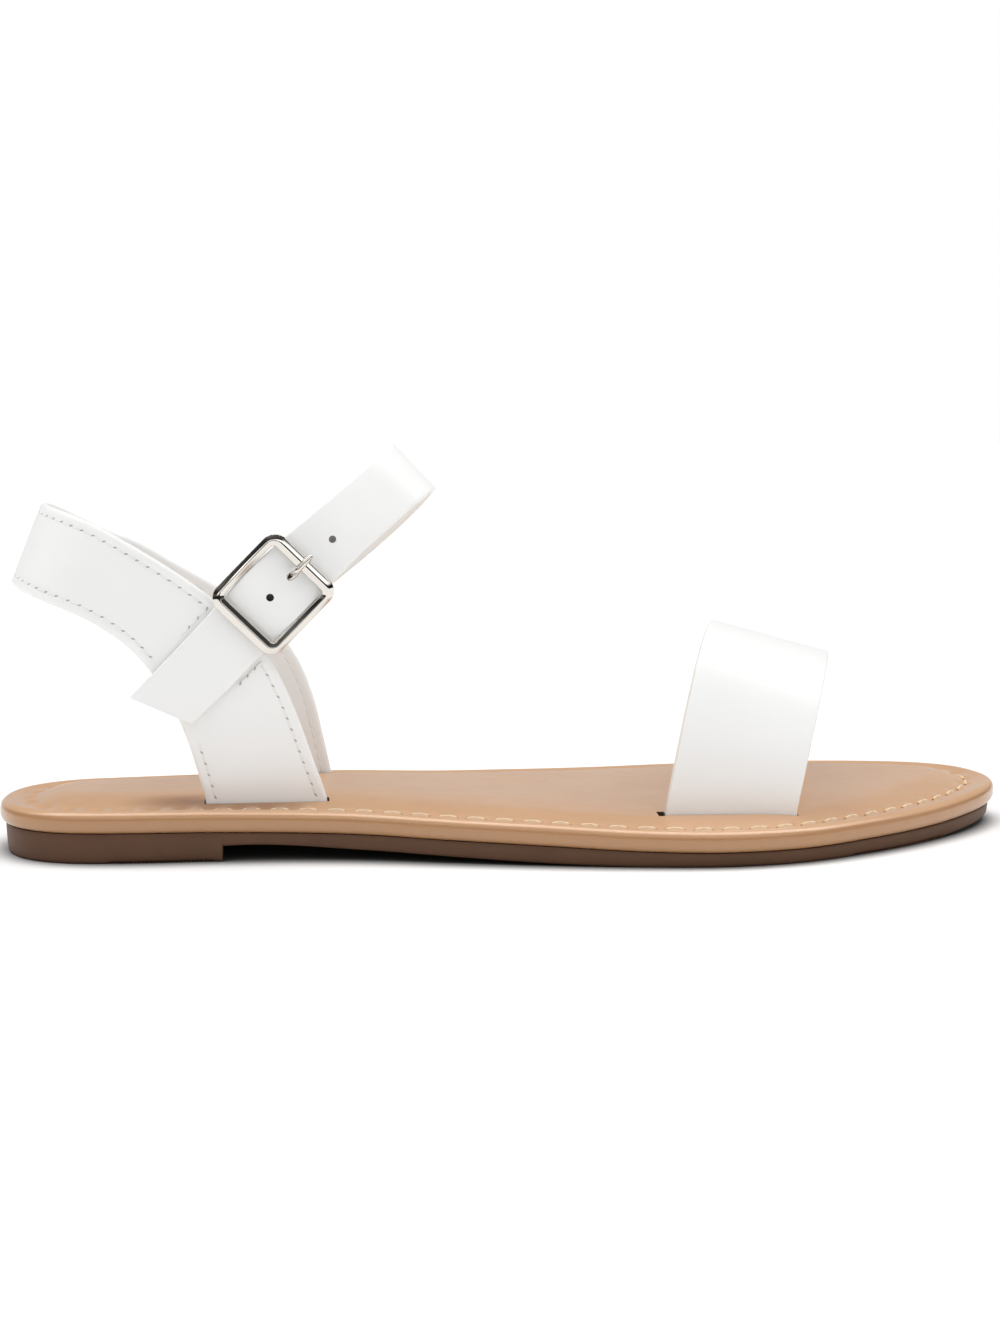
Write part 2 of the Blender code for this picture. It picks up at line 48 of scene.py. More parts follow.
def hexColor(code):
    srgb = [int(code[i:i + 2], 16) / 255 for i in (1, 3, 5)]
    return [c / 12.92 if c <= 0.04045 else ((c + 0.055) / 1.055) ** 2.4 for c in srgb] + [1.0]


def newMaterial(name, sockets):
    material = bpy.data.materials.new(name)
    material.use_nodes = True
    shader = material.node_tree.nodes["Principled BSDF"]
    for socket, value in sockets.items():
        shader.inputs[socket].default_value = value
    return material, shader


def addNode(material, kind, inputs, **settings):
    node = material.node_tree.nodes.new(kind)
    for name, value in settings.items():
        setattr(node, name, value)
    for key, value in inputs.items():
        if isinstance(value, bpy.types.NodeSocket):
            material.node_tree.links.new(value, node.inputs[key])
        else:
            node.inputs[key].default_value = value
    return node


def linkAll(material, shader, outputs):
    for socket, output in outputs.items():
        material.node_tree.links.new(output, shader.inputs[socket])


def objectSpot(material):
    return addNode(material, "ShaderNodeTexCoord", {}).outputs["Object"]


def addNoise(material, spot, size, detail, roughness=0.5):
    return addNode(material, "ShaderNodeTexNoise", {
        "Vector": spot, "Scale": 1 / (size * mm), "Detail": detail, "Roughness": roughness}).outputs["Fac"]


def mixTone(material, share, first, second):
    return addNode(material, "ShaderNodeMix", {
        "Factor": share, 6: first, 7: second}, data_type="RGBA").outputs[2]


def mapRange(material, value, low, high, **settings):
    return addNode(material, "ShaderNodeMapRange", {
        "Value": value, "To Min": low, "To Max": high}, **settings).outputs["Result"]


def addBump(material, height, strength, depth, **inputs):
    return addNode(material, "ShaderNodeBump", {
        "Height": height, "Strength": strength, "Distance": depth * mm, **inputs}).outputs["Normal"]


def curveThrough(x, knots, values):
    # cubic through the values, level where two neighbours are level
    x, knots, values = np.asarray(x, float), np.asarray(knots, float), np.asarray(values, float)
    step = np.diff(knots)
    slope = np.diff(values) / step
    mean = (slope[:-1] * step[1:] + slope[1:] * step[:-1]) / (step[:-1] + step[1:])
    inner = np.where(slope[:-1] * slope[1:] == 0, 0.0, mean)
    first, last = 1.5 * slope[0] - 0.5 * inner[0], 1.5 * slope[-1] - 0.5 * inner[-1]
    tangent = np.concatenate(([first], inner, [last]))
    k = np.clip(np.searchsorted(knots, x, side="right") - 1, 0, len(step) - 1)
    t = (x - knots[k]) / step[k]
    rise = (3 - 2 * t) * t * t
    start = tangent[k] * step[k] * t * (1 - t) ** 2
    end = tangent[k + 1] * step[k] * t * t * (t - 1)
    return values[k] * (1 - rise) + values[k + 1] * rise + start + end


def throughRows(share, rows):
    # point at a share of the way through evenly counted rows
    at, counts = np.asarray(share) * (len(rows) - 1), np.arange(len(rows))
    columns = np.asarray(rows, float).T
    return np.stack([curveThrough(at, counts, column) for column in columns], axis=-1)


def unit(vectors):
    return vectors / np.linalg.norm(vectors, axis=-1)[..., None]


def runLength(points):
    return np.concatenate(([0], np.cumsum(np.linalg.norm(np.diff(points, axis=0), axis=1))))


def pointsAt(at, length, points):
    return np.stack([np.interp(at, length, column) for column in points.T], axis=-1)


def softStep(x):
    x = np.clip(x, 0, 1)
    return x * x * (3 - 2 * x)


def toWorld(points):
    return (points - np.array((sole["length"] / 2, 0, 0))) * mm


def faceOutward(bm):
    bm.normal_update()
    bmesh.ops.recalc_face_normals(bm, faces=bm.faces)


def makeSkin(columns, rows, place):
    # a grid whose points are put on the piece by place(share of columns, share of rows)
    bm = bmesh.new()
    bmesh.ops.create_grid(bm, x_segments=columns, y_segments=rows, size=0.5)
    shares = np.array([vert.co.xy for vert in bm.verts]) + 0.5
    for vert, point in zip(bm.verts, toWorld(place(shares[:, 0], shares[:, 1]))):
        vert.co = point
    bmesh.ops.remove_doubles(bm, verts=bm.verts, dist=0.001 * mm)
    faceOutward(bm)
    return bm


def closeEnds(bm, rounding):
    # caps on the open ends of a band, with their corners taken off
    edges = [edge for edge in bm.edges if edge.is_boundary]
    caps = bmesh.ops.holes_fill(bm, edges=edges, sides=0)["faces"]
    faceOutward(bm)
    rims = list({edge for cap in caps for edge in cap.edges})
    bmesh.ops.bevel(bm, geom=rims, offset=rounding * mm, offset_type="OFFSET", segments=2,
                    profile=0.5, affect="EDGES", material=-1, clamp_overlap=True)


def showMesh(mesh, material):
    mesh.materials.append(material)
    piece = bpy.data.objects.new(mesh.name, mesh)
    scene.collection.objects.link(piece)
    return piece


def newObject(name, bm, material):
    mesh = bpy.data.meshes.new(name)
    bm.to_mesh(mesh)
    bm.free()
    return showMesh(mesh, material)


def cutOut(piece, cutters):
    # Boolean cuts, applied, after which the cutters go
    for cutter in cutters:
        modifier = piece.modifiers.new("cut", "BOOLEAN")
        modifier.object = cutter
        modifier.solver = "EXACT"
        modifier.material_mode = "TRANSFER"  # the cut's walls take the cutter's material
    whole = piece.data
    piece.data = bpy.data.meshes.new_from_object(piece.evaluated_get(bpy.context.evaluated_depsgraph_get()))
    piece.data.name = whole.name
    piece.modifiers.clear()
    bpy.data.meshes.remove(whole)
    for cutter in cutters:
        bpy.data.meshes.remove(cutter.data)


def finishPiece(piece, node=None, sharp=35):
    piece.data.shade_smooth()
    piece.data.set_sharp_from_angle(angle=math.radians(sharp))
    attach(piece, "root")
    if node:
        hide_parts(node)
    print("sandal:", piece.name, len(piece.data.polygons), "faces")


# Sole outline, shared by outsole and footbed

sole = {
    "length": 248.4,
    "seamDrop": 0.65,  # the wrap reaches this far down over the outsole's seat
    "seamGap": 0.06,
    "breast": 52.7,    # front of the heel block
    "breastDraft": 0.05,
    "spineEnd": 22.0,  # the middle line stops this far from heel and toe
    "columns": 720,
    # station, lateral edge, medial edge, height of the seat, its rise to the medial edge,
    # height of the tread
    "sections": (
        (0.0, 0.0, 0.0, 7.8, 0.0, 0.0),
        (6.0, -16.6, 16.0, 7.8, 0.0, 0.0),
        (15.0, -22.4, 21.8, 7.8, 0.0, 0.0),
        (30.0, -24.8, 24.2, 7.8, 0.0, 0.0),
        (52.7, -25.0, 26.0, 7.6, 0.3, 3.6),
        (85.0, -27.8, 28.8, 6.9, 0.8, 2.5),
        (105.0, -32.8, 30.4, 6.1, 0.8, 1.5),
        (125.0, -37.6, 33.6, 5.4, 0.9, 0.6),
        (150.0, -42.2, 40.2, 4.3, 1.0, 0.0),
        (168.0, -43.8, 43.6, 4.0, 1.1, 0.0),
        (185.0, -41.4, 44.0, 4.0, 1.1, 0.0),
        (205.0, -32.8, 41.8, 4.3, 1.3, 0.0),
        (225.0, -20.0, 36.4, 4.6, 1.5, 0.2),
        (236.0, -10.6, 31.0, 5.1, 1.3, 0.8),
        (243.8, -1.6, 24.4, 5.6, 0.8, 1.5),
        (248.4, 11.0, 11.0, 6.1, 0.0, 2.1),
    ),
}

stations, lateralEdge, medialEdge, seatLevel, archRise, treadLevel = np.array(sole["sections"]).T


def endAngle(station):
    # runs evenly round heel and toe, so that both close as round curves
    return np.arccos(np.clip(1 - 2 * np.asarray(station, float) / sole["length"], -1, 1))


def soleEdge(station, edge):
    return curveThrough(endAngle(station), endAngle(stations), edge)


def seatHeight(station, y):
    station = np.clip(station, 0, sole["length"])
    lateral = soleEdge(station, lateralEdge)
    width = np.maximum(soleEdge(station, medialEdge) - lateral, 1.0)
    share = np.clip((y - lateral) / width, 0, 1)
    return curveThrough(station, stations, seatLevel) + share * curveThrough(station, stations, archRise)


def treadHeight(station):
    return np.where(station <= sole["breast"], 0.0, curveThrough(station, stations, treadLevel))


def outlinePoint(turn, atBreast=False):
    # lateral side to the toe in the first half turn, medial side back to the heel in the second
    turn = np.mod(turn, 1.0)
    station = sole["length"] / 2 * (1 - np.cos(2 * np.pi * turn))
    if atBreast:  # two columns stand at the heel block's front wall
        reach = np.pi * sole["length"] / sole["columns"] * math.sin(endAngle(sole["breast"]))
        ahead = station - sole["breast"]
        station = np.where((ahead <= 0) & (ahead > -reach), sole["breast"], station)
        station = np.where((ahead > 0) & (ahead <= reach), sole["breast"] + sole["breastDraft"], station)
    edge = np.where(turn <= 0.5, soleEdge(station, lateralEdge), soleEdge(station, medialEdge))
    return np.stack((station, edge), axis=-1)


def soleRing(turn, inset):
    # station on the outline, and the point set in from it
    aside = 0.5 / sole["columns"]
    ahead = unit(outlinePoint(turn + aside) - outlinePoint(turn - aside))
    spot = outlinePoint(turn, atBreast=True)
    return spot[..., 0], spot[..., 0] - inset * ahead[..., 1], spot[..., 1] + inset * ahead[..., 0]


def soleSpine(station):
    x = np.clip(station, sole["spineEnd"], sole["length"] - sole["spineEnd"])
    return x, (soleEdge(x, lateralEdge) + soleEdge(x, medialEdge)) / 2


# Materials

def makeCoatedLeather(look):
    # split leather under a white polyurethane coat: an even satin white with a faint pebble
    material, shader = newMaterial("white_coated_leather", {
        "Specular IOR Level": look["specular"], "Coat Weight": look["coat"], "Coat Roughness": 0.3})
    spot = objectSpot(material)
    cloud = addNoise(material, spot, look["cloud"], 3.0)
    tone = mixTone(material, cloud, hexColor(look["light"]), hexColor(look["dark"]))
    gloss = mapRange(material, cloud, look["roughness"] - 0.05, look["roughness"] + 0.05)
    pebble = addNode(material, "ShaderNodeTexVoronoi", {
        "Vector": spot, "Scale": 1 / (look["grain"] * mm)}, feature="SMOOTH_F1").outputs["Distance"]
    grain = addBump(material, pebble, look["grainStrength"], look["grainDepth"])
    linkAll(material, shader, {"Base Color": tone, "Roughness": gloss, "Normal": grain})
    return material


def makeTanWrap(look):
    # smooth tan leathercloth wrapped over foam: satin, with fine pores and a warm cloudy tone,
    # plus painted shade on the rolled rim's side faces and a painted shadow beside a strap's foot
    material, shader = newMaterial("tan_wrap_leather", {
        "Specular IOR Level": look["specular"], "Coat Weight": look["coat"],
        "Coat Roughness": look["coatRoughness"]})
    spot = objectSpot(material)
    cloud = addNoise(material, spot, look["cloud"], 4.0)
    tone = mixTone(material, cloud, hexColor(look["light"]), hexColor(look["dark"]))
    # painted shade: the rolled rim's side faces take the darker rim colour, masked by their normals
    rolled = addNode(material, "ShaderNodeAttribute", {}, attribute_name="rolled").outputs["Fac"]
    tone = mixTone(material, rolled, tone, hexColor(look["rim"]))
    # painted shadow: soft dark patches laid on the tone at given places
    for (station, y, z), halves, strength in look["paintedShadows"]:
        middle = ((station - sole["length"] / 2) * mm, y * mm, z * mm)
        apart = addNode(material, "ShaderNodeVectorMath", {0: spot, 1: middle}, operation="SUBTRACT")
        scaled = addNode(material, "ShaderNodeVectorMath", {
            0: apart.outputs[0], 1: [1 / (half * mm) for half in halves]}, operation="MULTIPLY")
        away = addNode(material, "ShaderNodeVectorMath", {0: scaled.outputs[0]}, operation="LENGTH")
        paintedShadow = mapRange(material, away.outputs["Value"], strength, 0.0, interpolation_type="SMOOTHSTEP")
        tone = mixTone(material, paintedShadow, tone, hexColor(look["paintedShadow"]))
    pores = addNoise(material, spot, look["pore"], 2.0, roughness=0.6)
    gloss = mapRange(material, cloud, look["roughness"] - 0.06, look["roughness"] + 0.06)
    ripple = addNoise(material, spot, look["ripple"], 1.0)
    soft = addBump(material, ripple, 0.5, look["rippleDepth"])
    grain = addBump(material, pores, 0.35, look["poreDepth"], Normal=soft)
    linkAll(material, shader, {"Base Color": tone, "Roughness": gloss, "Normal": grain})
    return material


def makeMouldedRubber(look):
    # compact brown rubber from a steel mould: satin, finely pitted, a little dust-pale in places
    material, shader = newMaterial("brown_moulded_rubber", {"Specular IOR Level": look["specular"]})
    spot = objectSpot(material)
    cloud = addNoise(material, spot, look["cloud"], 5.0)
    tone = mixTone(material, cloud, hexColor(look["light"]), hexColor(look["dark"]))
    pits = addNoise(material, spot, look["pit"], 2.0)
    gloss = mapRange(material, pits, look["roughness"] - 0.1, look["roughness"] + 0.1)
    pitting = addBump(material, pits, 0.4, look["pitDepth"])
    linkAll(material, shader, {"Base Color": tone, "Roughness": gloss, "Normal": pitting})
    return material


def makeFibres(name, look):
    # matt fibres: a thread with the light and dark of its twisted plies, the nap of a cut, or the painted
    # shade inside holes and cuts
    material, shader = newMaterial(name, {"Roughness": 0.7, "Sheen Weight": 0.2})
    plies = addNoise(material, objectSpot(material), look["ply"], 2.0)
    tone = mixTone(material, plies, hexColor(look["light"]), hexColor(look["dark"]))
    twist = addBump(material, plies, 0.5, look["ply"] / 2)
    linkAll(material, shader, {"Base Color": tone, "Normal": twist})
    return material


def makePolishedNickel(look):
    # nickel plate over cast zinc, polished: clear reflections with a faint haze of handling
    material, shader = newMaterial("polished_nickel", {
        "Base Color": hexColor(look["color"]), "Metallic": 1.0})
    haze = addNoise(material, objectSpot(material), look["haze"], 4.0)
    gloss = mapRange(material, haze, look["roughness"] - 0.03, look["roughness"] + 0.05)
    linkAll(material, shader, {"Roughness": gloss})
    return material


coatedLeather = makeCoatedLeather({
    "light": "#f2f2f1", "dark": "#ececeb", "roughness": 0.42, "specular": 0.4, "coat": 0.1,
    "cloud": 26.0, "grain": 0.5, "grainStrength": 0.25, "grainDepth": 0.03})
tanWrap = makeTanWrap({
    # rim: colour of the painted shade on the rolled edge's side faces
    "light": "#d1a780", "dark": "#c79972", "rim": "#ac7f56",
    "roughness": 0.36, "specular": 0.5, "coat": 0.6, "coatRoughness": 0.13,
    # painted shadow beside the lateral quarter's foot: middle, half sizes and strength
    "paintedShadow": "#7a4e2e",
    "paintedShadows": (((46.0, -14.0, 12.5), (20.0, 6.5, 9.0), 0.8), ((63.0, -16.5, 12.0), (16.0, 3.4, 9.0), 0.55)),
    "cloud": 16.0, "pore": 0.35, "poreDepth": 0.04, "ripple": 7.0, "rippleDepth": 0.5})
mouldedRubber = makeMouldedRubber({
    "light": "#664934", "dark": "#523829", "roughness": 0.5, "specular": 0.25,
    "cloud": 12.0, "pit": 0.4, "pitDepth": 0.05})
creamThread = makeFibres("cream_thread", {"light": "#f0dcbc", "dark": "#e0c398", "ply": 0.3})
whiteThread = makeFibres("white_thread", {"light": "#f2f2ef", "dark": "#e4e3df", "ply": 0.2})
# painted shade: grey and brown marks that stand for the shade in needle holes
holeShadeInWhite = makeFibres("needle_hole_shade_in_white", {"light": "#bdbab6", "dark": "#a19e9a", "ply": 0.2})
holeShadeInTan = makeFibres("needle_hole_shade_in_tan", {"light": "#8a623d", "dark": "#6d4a2c", "ply": 0.2})
cutEdge = makeFibres("cut_leather_edge", {"light": "#ebe7e0", "dark": "#dad5cc", "ply": 0.3})
# painted shade: dark walls for holes, slits and cuts, standing for the shade inside them
shadeInWhiteCuts = makeFibres("painted_shade_in_white_cuts", {"light": "#4f4c48", "dark": "#3b3936", "ply": 0.3})
shadeInTanCuts = makeFibres("painted_shade_in_tan_cuts", {"light": "#4b3523", "dark": "#352417", "ply": 0.3})
polishedNickel = makePolishedNickel({"color": "#dcd7d0", "roughness": 0.09, "haze": 3.0})
print("sandal: materials made")


# Outsole: moulded rubber with a low heel block and two ribbed treads

outsole = {
    # distance in from the footbed's outline, share of the side's height, from the seat to the tread
    "side": ((1.9, 1.0), (1.38, 0.99), (1.28, 0.95), (1.3, 0.75), (1.4, 0.5), (1.5, 0.25), (1.6, 0.12),
             (1.75, 0.05), (2.0, 0.015), (2.4, 0.0)),
    "ribbed": ((26.0, 51.5), (200.0, 228.0)),  # stations of the two treads
    "ribPitch": 0.95,
    "ribWidth": 0.5,
    "ribDepth": 0.4,
}


def ribbedShare(station):
    return sum(softStep(station - start) * softStep(end - station) for start, end in outsole["ribbed"])


def placeOutsole(turn, ring):
    inset, share = np.array(outsole["side"]).T
    row = np.round(ring * (len(inset) + 1)).astype(int)
    onSide = np.clip(row - 1, 0, len(inset) - 1)
    station, x, y = soleRing(turn, inset[onSide])
    spineX, spineY = soleSpine(station)
    middle = (row == 0) | (row == len(inset) + 1)
    x, y = np.where(middle, spineX, x), np.where(middle, spineY, y)
    tread = treadHeight(np.where(middle, spineX, station))
    tread = tread + outsole["ribDepth"] * ribbedShare(station)
    seat = seatHeight(x, y) - sole["seamDrop"] - sole["seamGap"]
    return np.stack((x, y, tread + share[onSide] * (seat - tread)), axis=-1)


outsoleSkin = makeSkin(sole["columns"], len(outsole["side"]) + 1, placeOutsole)
finishPiece(newObject("outsole_rubber", outsoleSkin, mouldedRubber), "outsole", sharp=50)

ribs = bmesh.new()
ribHeight = 1.1 * outsole["ribDepth"]  # a little up into the rubber
margin = outsole["side"][-1][0]
for start, end in outsole["ribbed"]:
    for station in np.arange(start + 0.5, end - 0.5, outsole["ribPitch"]):
        lateral = soleEdge(station, lateralEdge) + margin
        medial = soleEdge(station, medialEdge) - margin
        middle = np.array((station, (lateral + medial) / 2, treadHeight(station) + ribHeight / 2))
        size = Matrix.Diagonal((outsole["ribWidth"] * mm, (medial - lateral) * mm, ribHeight * mm, 1))
        bmesh.ops.create_cube(ribs, size=1.0, matrix=Matrix.Translation(toWorld(middle)) @ size)
finishPiece(newObject("outsole_tread_ribs", ribs, mouldedRubber))


# Footbed: foam under tan leathercloth, rolled over the edge and sewn down with cream thread

footbed = {
    # rolled edge: distance in from the outline, height over the outsole, from the underside inwards
    "edge": ((1.7, -0.65), (0.6, -0.15), (0.08, 0.8), (0.0, 1.8), (0.05, 2.75), (0.3, 3.5), (0.78, 4.03),
             (1.3, 4.36), (1.95, 4.5), (2.8, 4.38), (4.4, 4.0), (7.0, 3.7), (8.6, 4.15), (10.2, 4.6),
             (12.0, 5.05), (13.5, 5.35)),
    "rimShadeTurn": 0.78,       # painted shade darkens the rolled edge where its normal rises less than this,
    "rimShadeBlend": 0.5,       # and is darkest this much lower
    "edgeSteps": 60,
    "crownSteps": 10,
    "crown": 0.75,         # rise from there to the middle
    "medialRise": 0.75,    # the arch side is full as soon as it leaves the seam,
    "medialReach": 5.0,    # within this distance
    "top": 6.05,
    "groove": 3.7,         # height of the sewn line
    "stitchInset": 7.0,
    "stitchPitch": 6.6,
    "stitchLength": 4.3,
    "stitchWidth": 1.1,
    "heelSink": 0.4,       # the thread is worn in this far under the heel
    "sinkEnd": 87.0,       # station where it lies on top again
    "stitchLift": 0.1,     # its middle stands this far over the leathercloth
    "stitchSlant": 0.45,   # its front end lies this much further in
    "uneven": 0.12,        # how far hand and machine stray from the line
    "pucker": 0.42,        # how far each stitch pulls the edge down,
    "puckerReach": 1.4,    # and how far aside
    "needleHole": (0.12, 0.75, 0.2),  # marks of painted shade in the needle holes: length in stitches, then width and height
    "holeSink": 0.1,
    "slitSpare": 0.15,     # room beside a strap's wall
    "slitEnds": ((0.3, 0.15), (0.3, 0.3)),  # room at the ends, for front strap and quarters
    "slitHeights": (-5.0, 25.0),  # the slits go right through
    "frontSlitEnd": (0.055, 3.4),  # behind the front strap: share of its width, and how wide it gapes
}

turnTable = np.linspace(0, 1, 4 * sole["columns"] + 1)
seamTable = np.column_stack(soleRing(turnTable, footbed["stitchInset"])[1:])
seamLength = runLength(seamTable)
stitchCount = round(seamLength[-1] / footbed["stitchPitch"])


def footbedPuckers(turn, inset):
    phase = np.interp(turn, turnTable, seamLength) / seamLength[-1] * stitchCount
    near = np.exp(-((inset - footbed["stitchInset"]) / footbed["puckerReach"]) ** 2)
    return footbed["pucker"] * near * np.cos(2 * np.pi * phase)


def placeFootbed(turn, ring):
    insets, heights = np.array(footbed["edge"]).T
    edgeSteps, crownSteps = footbed["edgeSteps"], footbed["crownSteps"]
    row = np.round(ring * (1 + edgeSteps + crownSteps))
    at = np.clip((row - 1) / edgeSteps, 0, 1) * (len(insets) - 1)
    inset = curveThrough(at, np.arange(len(insets)), insets)
    height = curveThrough(at, np.arange(len(insets)), heights)
    station, x, y = soleRing(turn, inset)
    spineX, spineY = soleSpine(station)
    inward = np.where(row == 0, 1.0, np.clip((row - 1 - edgeSteps) / crownSteps, 0, 1))
    deep = inset + inward * np.hypot(spineX - x, spineY - y)
    medial = softStep((inset - footbed["stitchInset"]) / footbed["medialReach"])
    medial = medial * softStep(0.5 - np.sin(2 * np.pi * turn)) * (1 - inward) ** 2
    height = height + footbed["crown"] * (1 - (1 - inward) ** 3) + footbed["medialRise"] * medial
    height = np.where(row == 0, -sole["seamDrop"], height - footbedPuckers(turn, deep))
    x, y = x + inward * (spineX - x), y + inward * (spineY - y)
    return np.stack((x, y, seatHeight(x, y) + height), axis=-1)


footbedRows = 1 + footbed["edgeSteps"] + footbed["crownSteps"]
footbedPiece = newObject("footbed_wrap", makeSkin(sole["columns"], footbedRows, placeFootbed), tanWrap)


def repeatShape(name, bm, frames, material):
    # one mesh that holds the shape once for each frame of side, outward, ahead and place
    corners = np.array([vert.co for vert in bm.verts])
    bm.verts.index_update()
    faces = [[vert.index for vert in face.verts] for face in bm.faces]
    bm.free()
    points = np.einsum("fak,va->fvk", frames[:, :3], corners) + frames[:, 3:]
    mesh = bpy.data.meshes.new(name)
    mesh.from_pydata(points.reshape(-1, 3), [], [[corner + k * len(corners) for corner in face]
                                                 for k in range(len(frames)) for face in faces])
    return showMesh(mesh, material)


def roundShape(fullness):
    bm = bmesh.new()
    bmesh.ops.create_uvsphere(bm, u_segments=10, v_segments=8, radius=1.0)
    for vert in bm.verts:  # a fullness under 1 makes its ends blunter
        vert.co.z = math.copysign(abs(vert.co.z) ** fullness, vert.co.z)
    return bm


def layFrames(starts, ends, outward, width, height):
    # frames that lay a round shape from each start to its end, with its top outward
    ahead = ends - starts
    side = unit(np.cross(outward, ahead))
    top = unit(np.cross(ahead, side))
    return np.stack((side * width / 2, top * height, ahead / 2, (starts + ends) / 2), axis=1)


def footbedSpots(number, sink):
    # points on the sewn line, in stitches from the heel, let into the leathercloth by sink
    turn = np.interp(np.mod(number / stitchCount, 1.0) * seamLength[-1], seamLength, turnTable)
    inset = footbed["stitchInset"] + footbed["stitchSlant"] * (np.mod(number, 1.0) - 0.5)
    inset = inset + footbed["uneven"] * np.sin(5.1 * np.floor(number) + np.sin(number))
    _, x, y = soleRing(turn, inset)
    worn = footbed["heelSink"] * softStep(1.25 * (1 - x / footbed["sinkEnd"]))  # whole in the first fifth
    height = footbed["groove"] - footbedPuckers(turn, footbed["stitchInset"]) - sink - worn
    return toWorld(np.stack((x, y, seatHeight(x, y) + height), axis=-1))


stitchHalf = footbed["stitchLength"] / footbed["stitchPitch"] / 2
stitchMiddles = np.arange(stitchCount) + 0.5
upward = np.tile((0.0, 0.0, 1.0), (stitchCount, 1))


def layOnFootbed(middles, half, sink, width, height):
    starts, ends = footbedSpots(middles - half, sink), footbedSpots(middles + half, sink)
    return layFrames(starts, ends, upward, width * mm, height * mm)


stitchWidth = footbed["stitchWidth"]
stitchFrames = layOnFootbed(stitchMiddles, stitchHalf, -footbed["stitchLift"], stitchWidth, stitchWidth / 2)
finishPiece(repeatShape("footbed_thread", roundShape(0.6), stitchFrames, creamThread))
holeLength, holeWidth, holeHeight = footbed["needleHole"]
holeShadeFrames = np.concatenate([
    layOnFootbed(stitchMiddles + at, holeLength / 2, footbed["holeSink"], holeWidth, holeHeight)
    for at in (-stitchHalf, stitchHalf)])
finishPiece(repeatShape("footbed_needle_hole_shades", roundShape(1.0), holeShadeFrames, holeShadeInTan))


# Bands: every strap is a closed skin round its section, thick as the wall and rounded at its edges

def bandSection(rim, middles):
    # round the section: share of the width, distance from that edge, share of half the wall
    rise = [(0, d, o) for d, o in rim] + [(m, 0, 1) for m in middles] + [(1, -d, o) for d, o in rim[::-1]]
    back = [(s, d, -o) for s, d, o in rise[-2:0:-1]]
    return np.array(rise + back + rise[:1], float)


def bandNormal(middle, along, across):
    nudge = 0.002
    lower, upper = np.clip(along - nudge, 0, 1), np.clip(along + nudge, 0, 1)
    ahead = middle(upper, across) - middle(lower, across)
    over = middle(along, np.clip(across + nudge, 0, 1)) - middle(along, np.clip(across - nudge, 0, 1))
    return unit(np.cross(over, ahead))


def creaseDepth(points, creases):
    # soft troughs (below zero) and ridges between two points, with a half width and a height
    total = np.zeros(len(points))
    for start, end, halfWidth, height in creases:
        start, end = np.array(start), np.array(end)
        share = np.clip((points - start) @ (end - start) / ((end - start) @ (end - start)), 0, 1)
        away = np.linalg.norm(points - start - share[:, None] * (end - start), axis=1)
        total += height * np.exp(-(away / halfWidth) ** 2)
    return total


def makeBand(middle, band):
    section = bandSection(band["rim"], band["middles"])

    def place(along, around):
        share, inset, offset = section[np.round(around * (len(section) - 1)).astype(int)].T
        over = middle(along, np.ones_like(along)) - middle(along, np.zeros_like(along))
        across = share + inset / np.linalg.norm(over, axis=1)
        points = middle(along, across)
        bulge = offset * band["wall"] / 2 + creaseDepth(points, band["creases"])
        return points + bulge[:, None] * bandNormal(middle, along, across)

    bm = makeSkin(band["columns"], len(section) - 1, place)
    closeEnds(bm, band["endRounding"])
    if "cutAlong" in band:  # faces that look along the strap's width are raw edge, the second material
        for face in bm.faces:
            face.material_index = int(abs(face.normal.dot(Vector(band["cutAlong"]))) > 0.6)
    return bm


# Front strap: one plain band over the toes, its ends through slits in the footbed

frontStrap = {
    "wall": 1.8,
    "cutAlong": (1, 0, 0),
    "columns": 150,
    "rim": ((0.0, 0.0), (0.04, 0.4), (0.14, 0.72), (0.32, 0.93), (0.6, 1.0)),
    "middles": np.linspace(0.08, 0.92, 12),
    "endRounding": 0.1,
    # faint troughs and ridges: start, end, half width, height
    "creases": (((165.0, -25.3, 30.4), (186.5, -25.6, 27.4), 5.0, -0.16),
                ((176.0, -2.0, 50.4), (197.5, -1.5, 43.4), 6.0, 0.16)),
    # rear and front edge: station of the lateral foot, both feet, rise over the footbed, lean per rise
    "edges": ((155.8, -27.5, 29.5, 40.9, 0.181), (187.4, -28.0, 32.7, 32.0, 0.203)),
    "swing": 17.4,     # the medial foot is this much further forward
    "fullness": 0.8,   # squarer than a half ellipse below 1
    "leg": 1 / 12,     # share of the length that is down in each slit
    "footLift": 0.6,
}


def frontEdge(edge, share):
    footStation, lateral, medial, rise, lean = edge
    turn = np.pi * share
    reach = 0.5 - 0.5 * np.copysign(np.abs(np.cos(turn)) ** frontStrap["fullness"], np.cos(turn))
    y = lateral + reach * (medial - lateral)
    climb = rise * np.maximum(np.sin(turn), 0) ** frontStrap["fullness"]
    footX = footStation + frontStrap["swing"] * reach
    z = seatHeight(footX, y) + footbed["top"] + climb
    return np.stack((footX + lean * climb, y, z), axis=-1)


def frontMiddle(along, across):
    leg = frontStrap["leg"]
    share = np.clip((along - leg) / (1 - 2 * leg), 0, 1)
    rear, front = (frontEdge(edge, share) for edge in frontStrap["edges"])
    points = rear + across[:, None] * (front - rear)
    sunk = np.maximum(np.maximum(leg - along, along - 1 + leg), 0) / leg
    foot = seatHeight(points[:, 0], points[:, 1]) + frontStrap["footLift"]
    points[:, 2] += sunk * (foot - points[:, 2])
    return points


frontPiece = newObject("front_strap_leather", makeBand(frontMiddle, frontStrap), coatedLeather)
frontPiece.data.materials.append(cutEdge)
finishPiece(frontPiece, "front_strap")


# Heel strap: sewn band round the back of the heel that runs down each side as a quarter

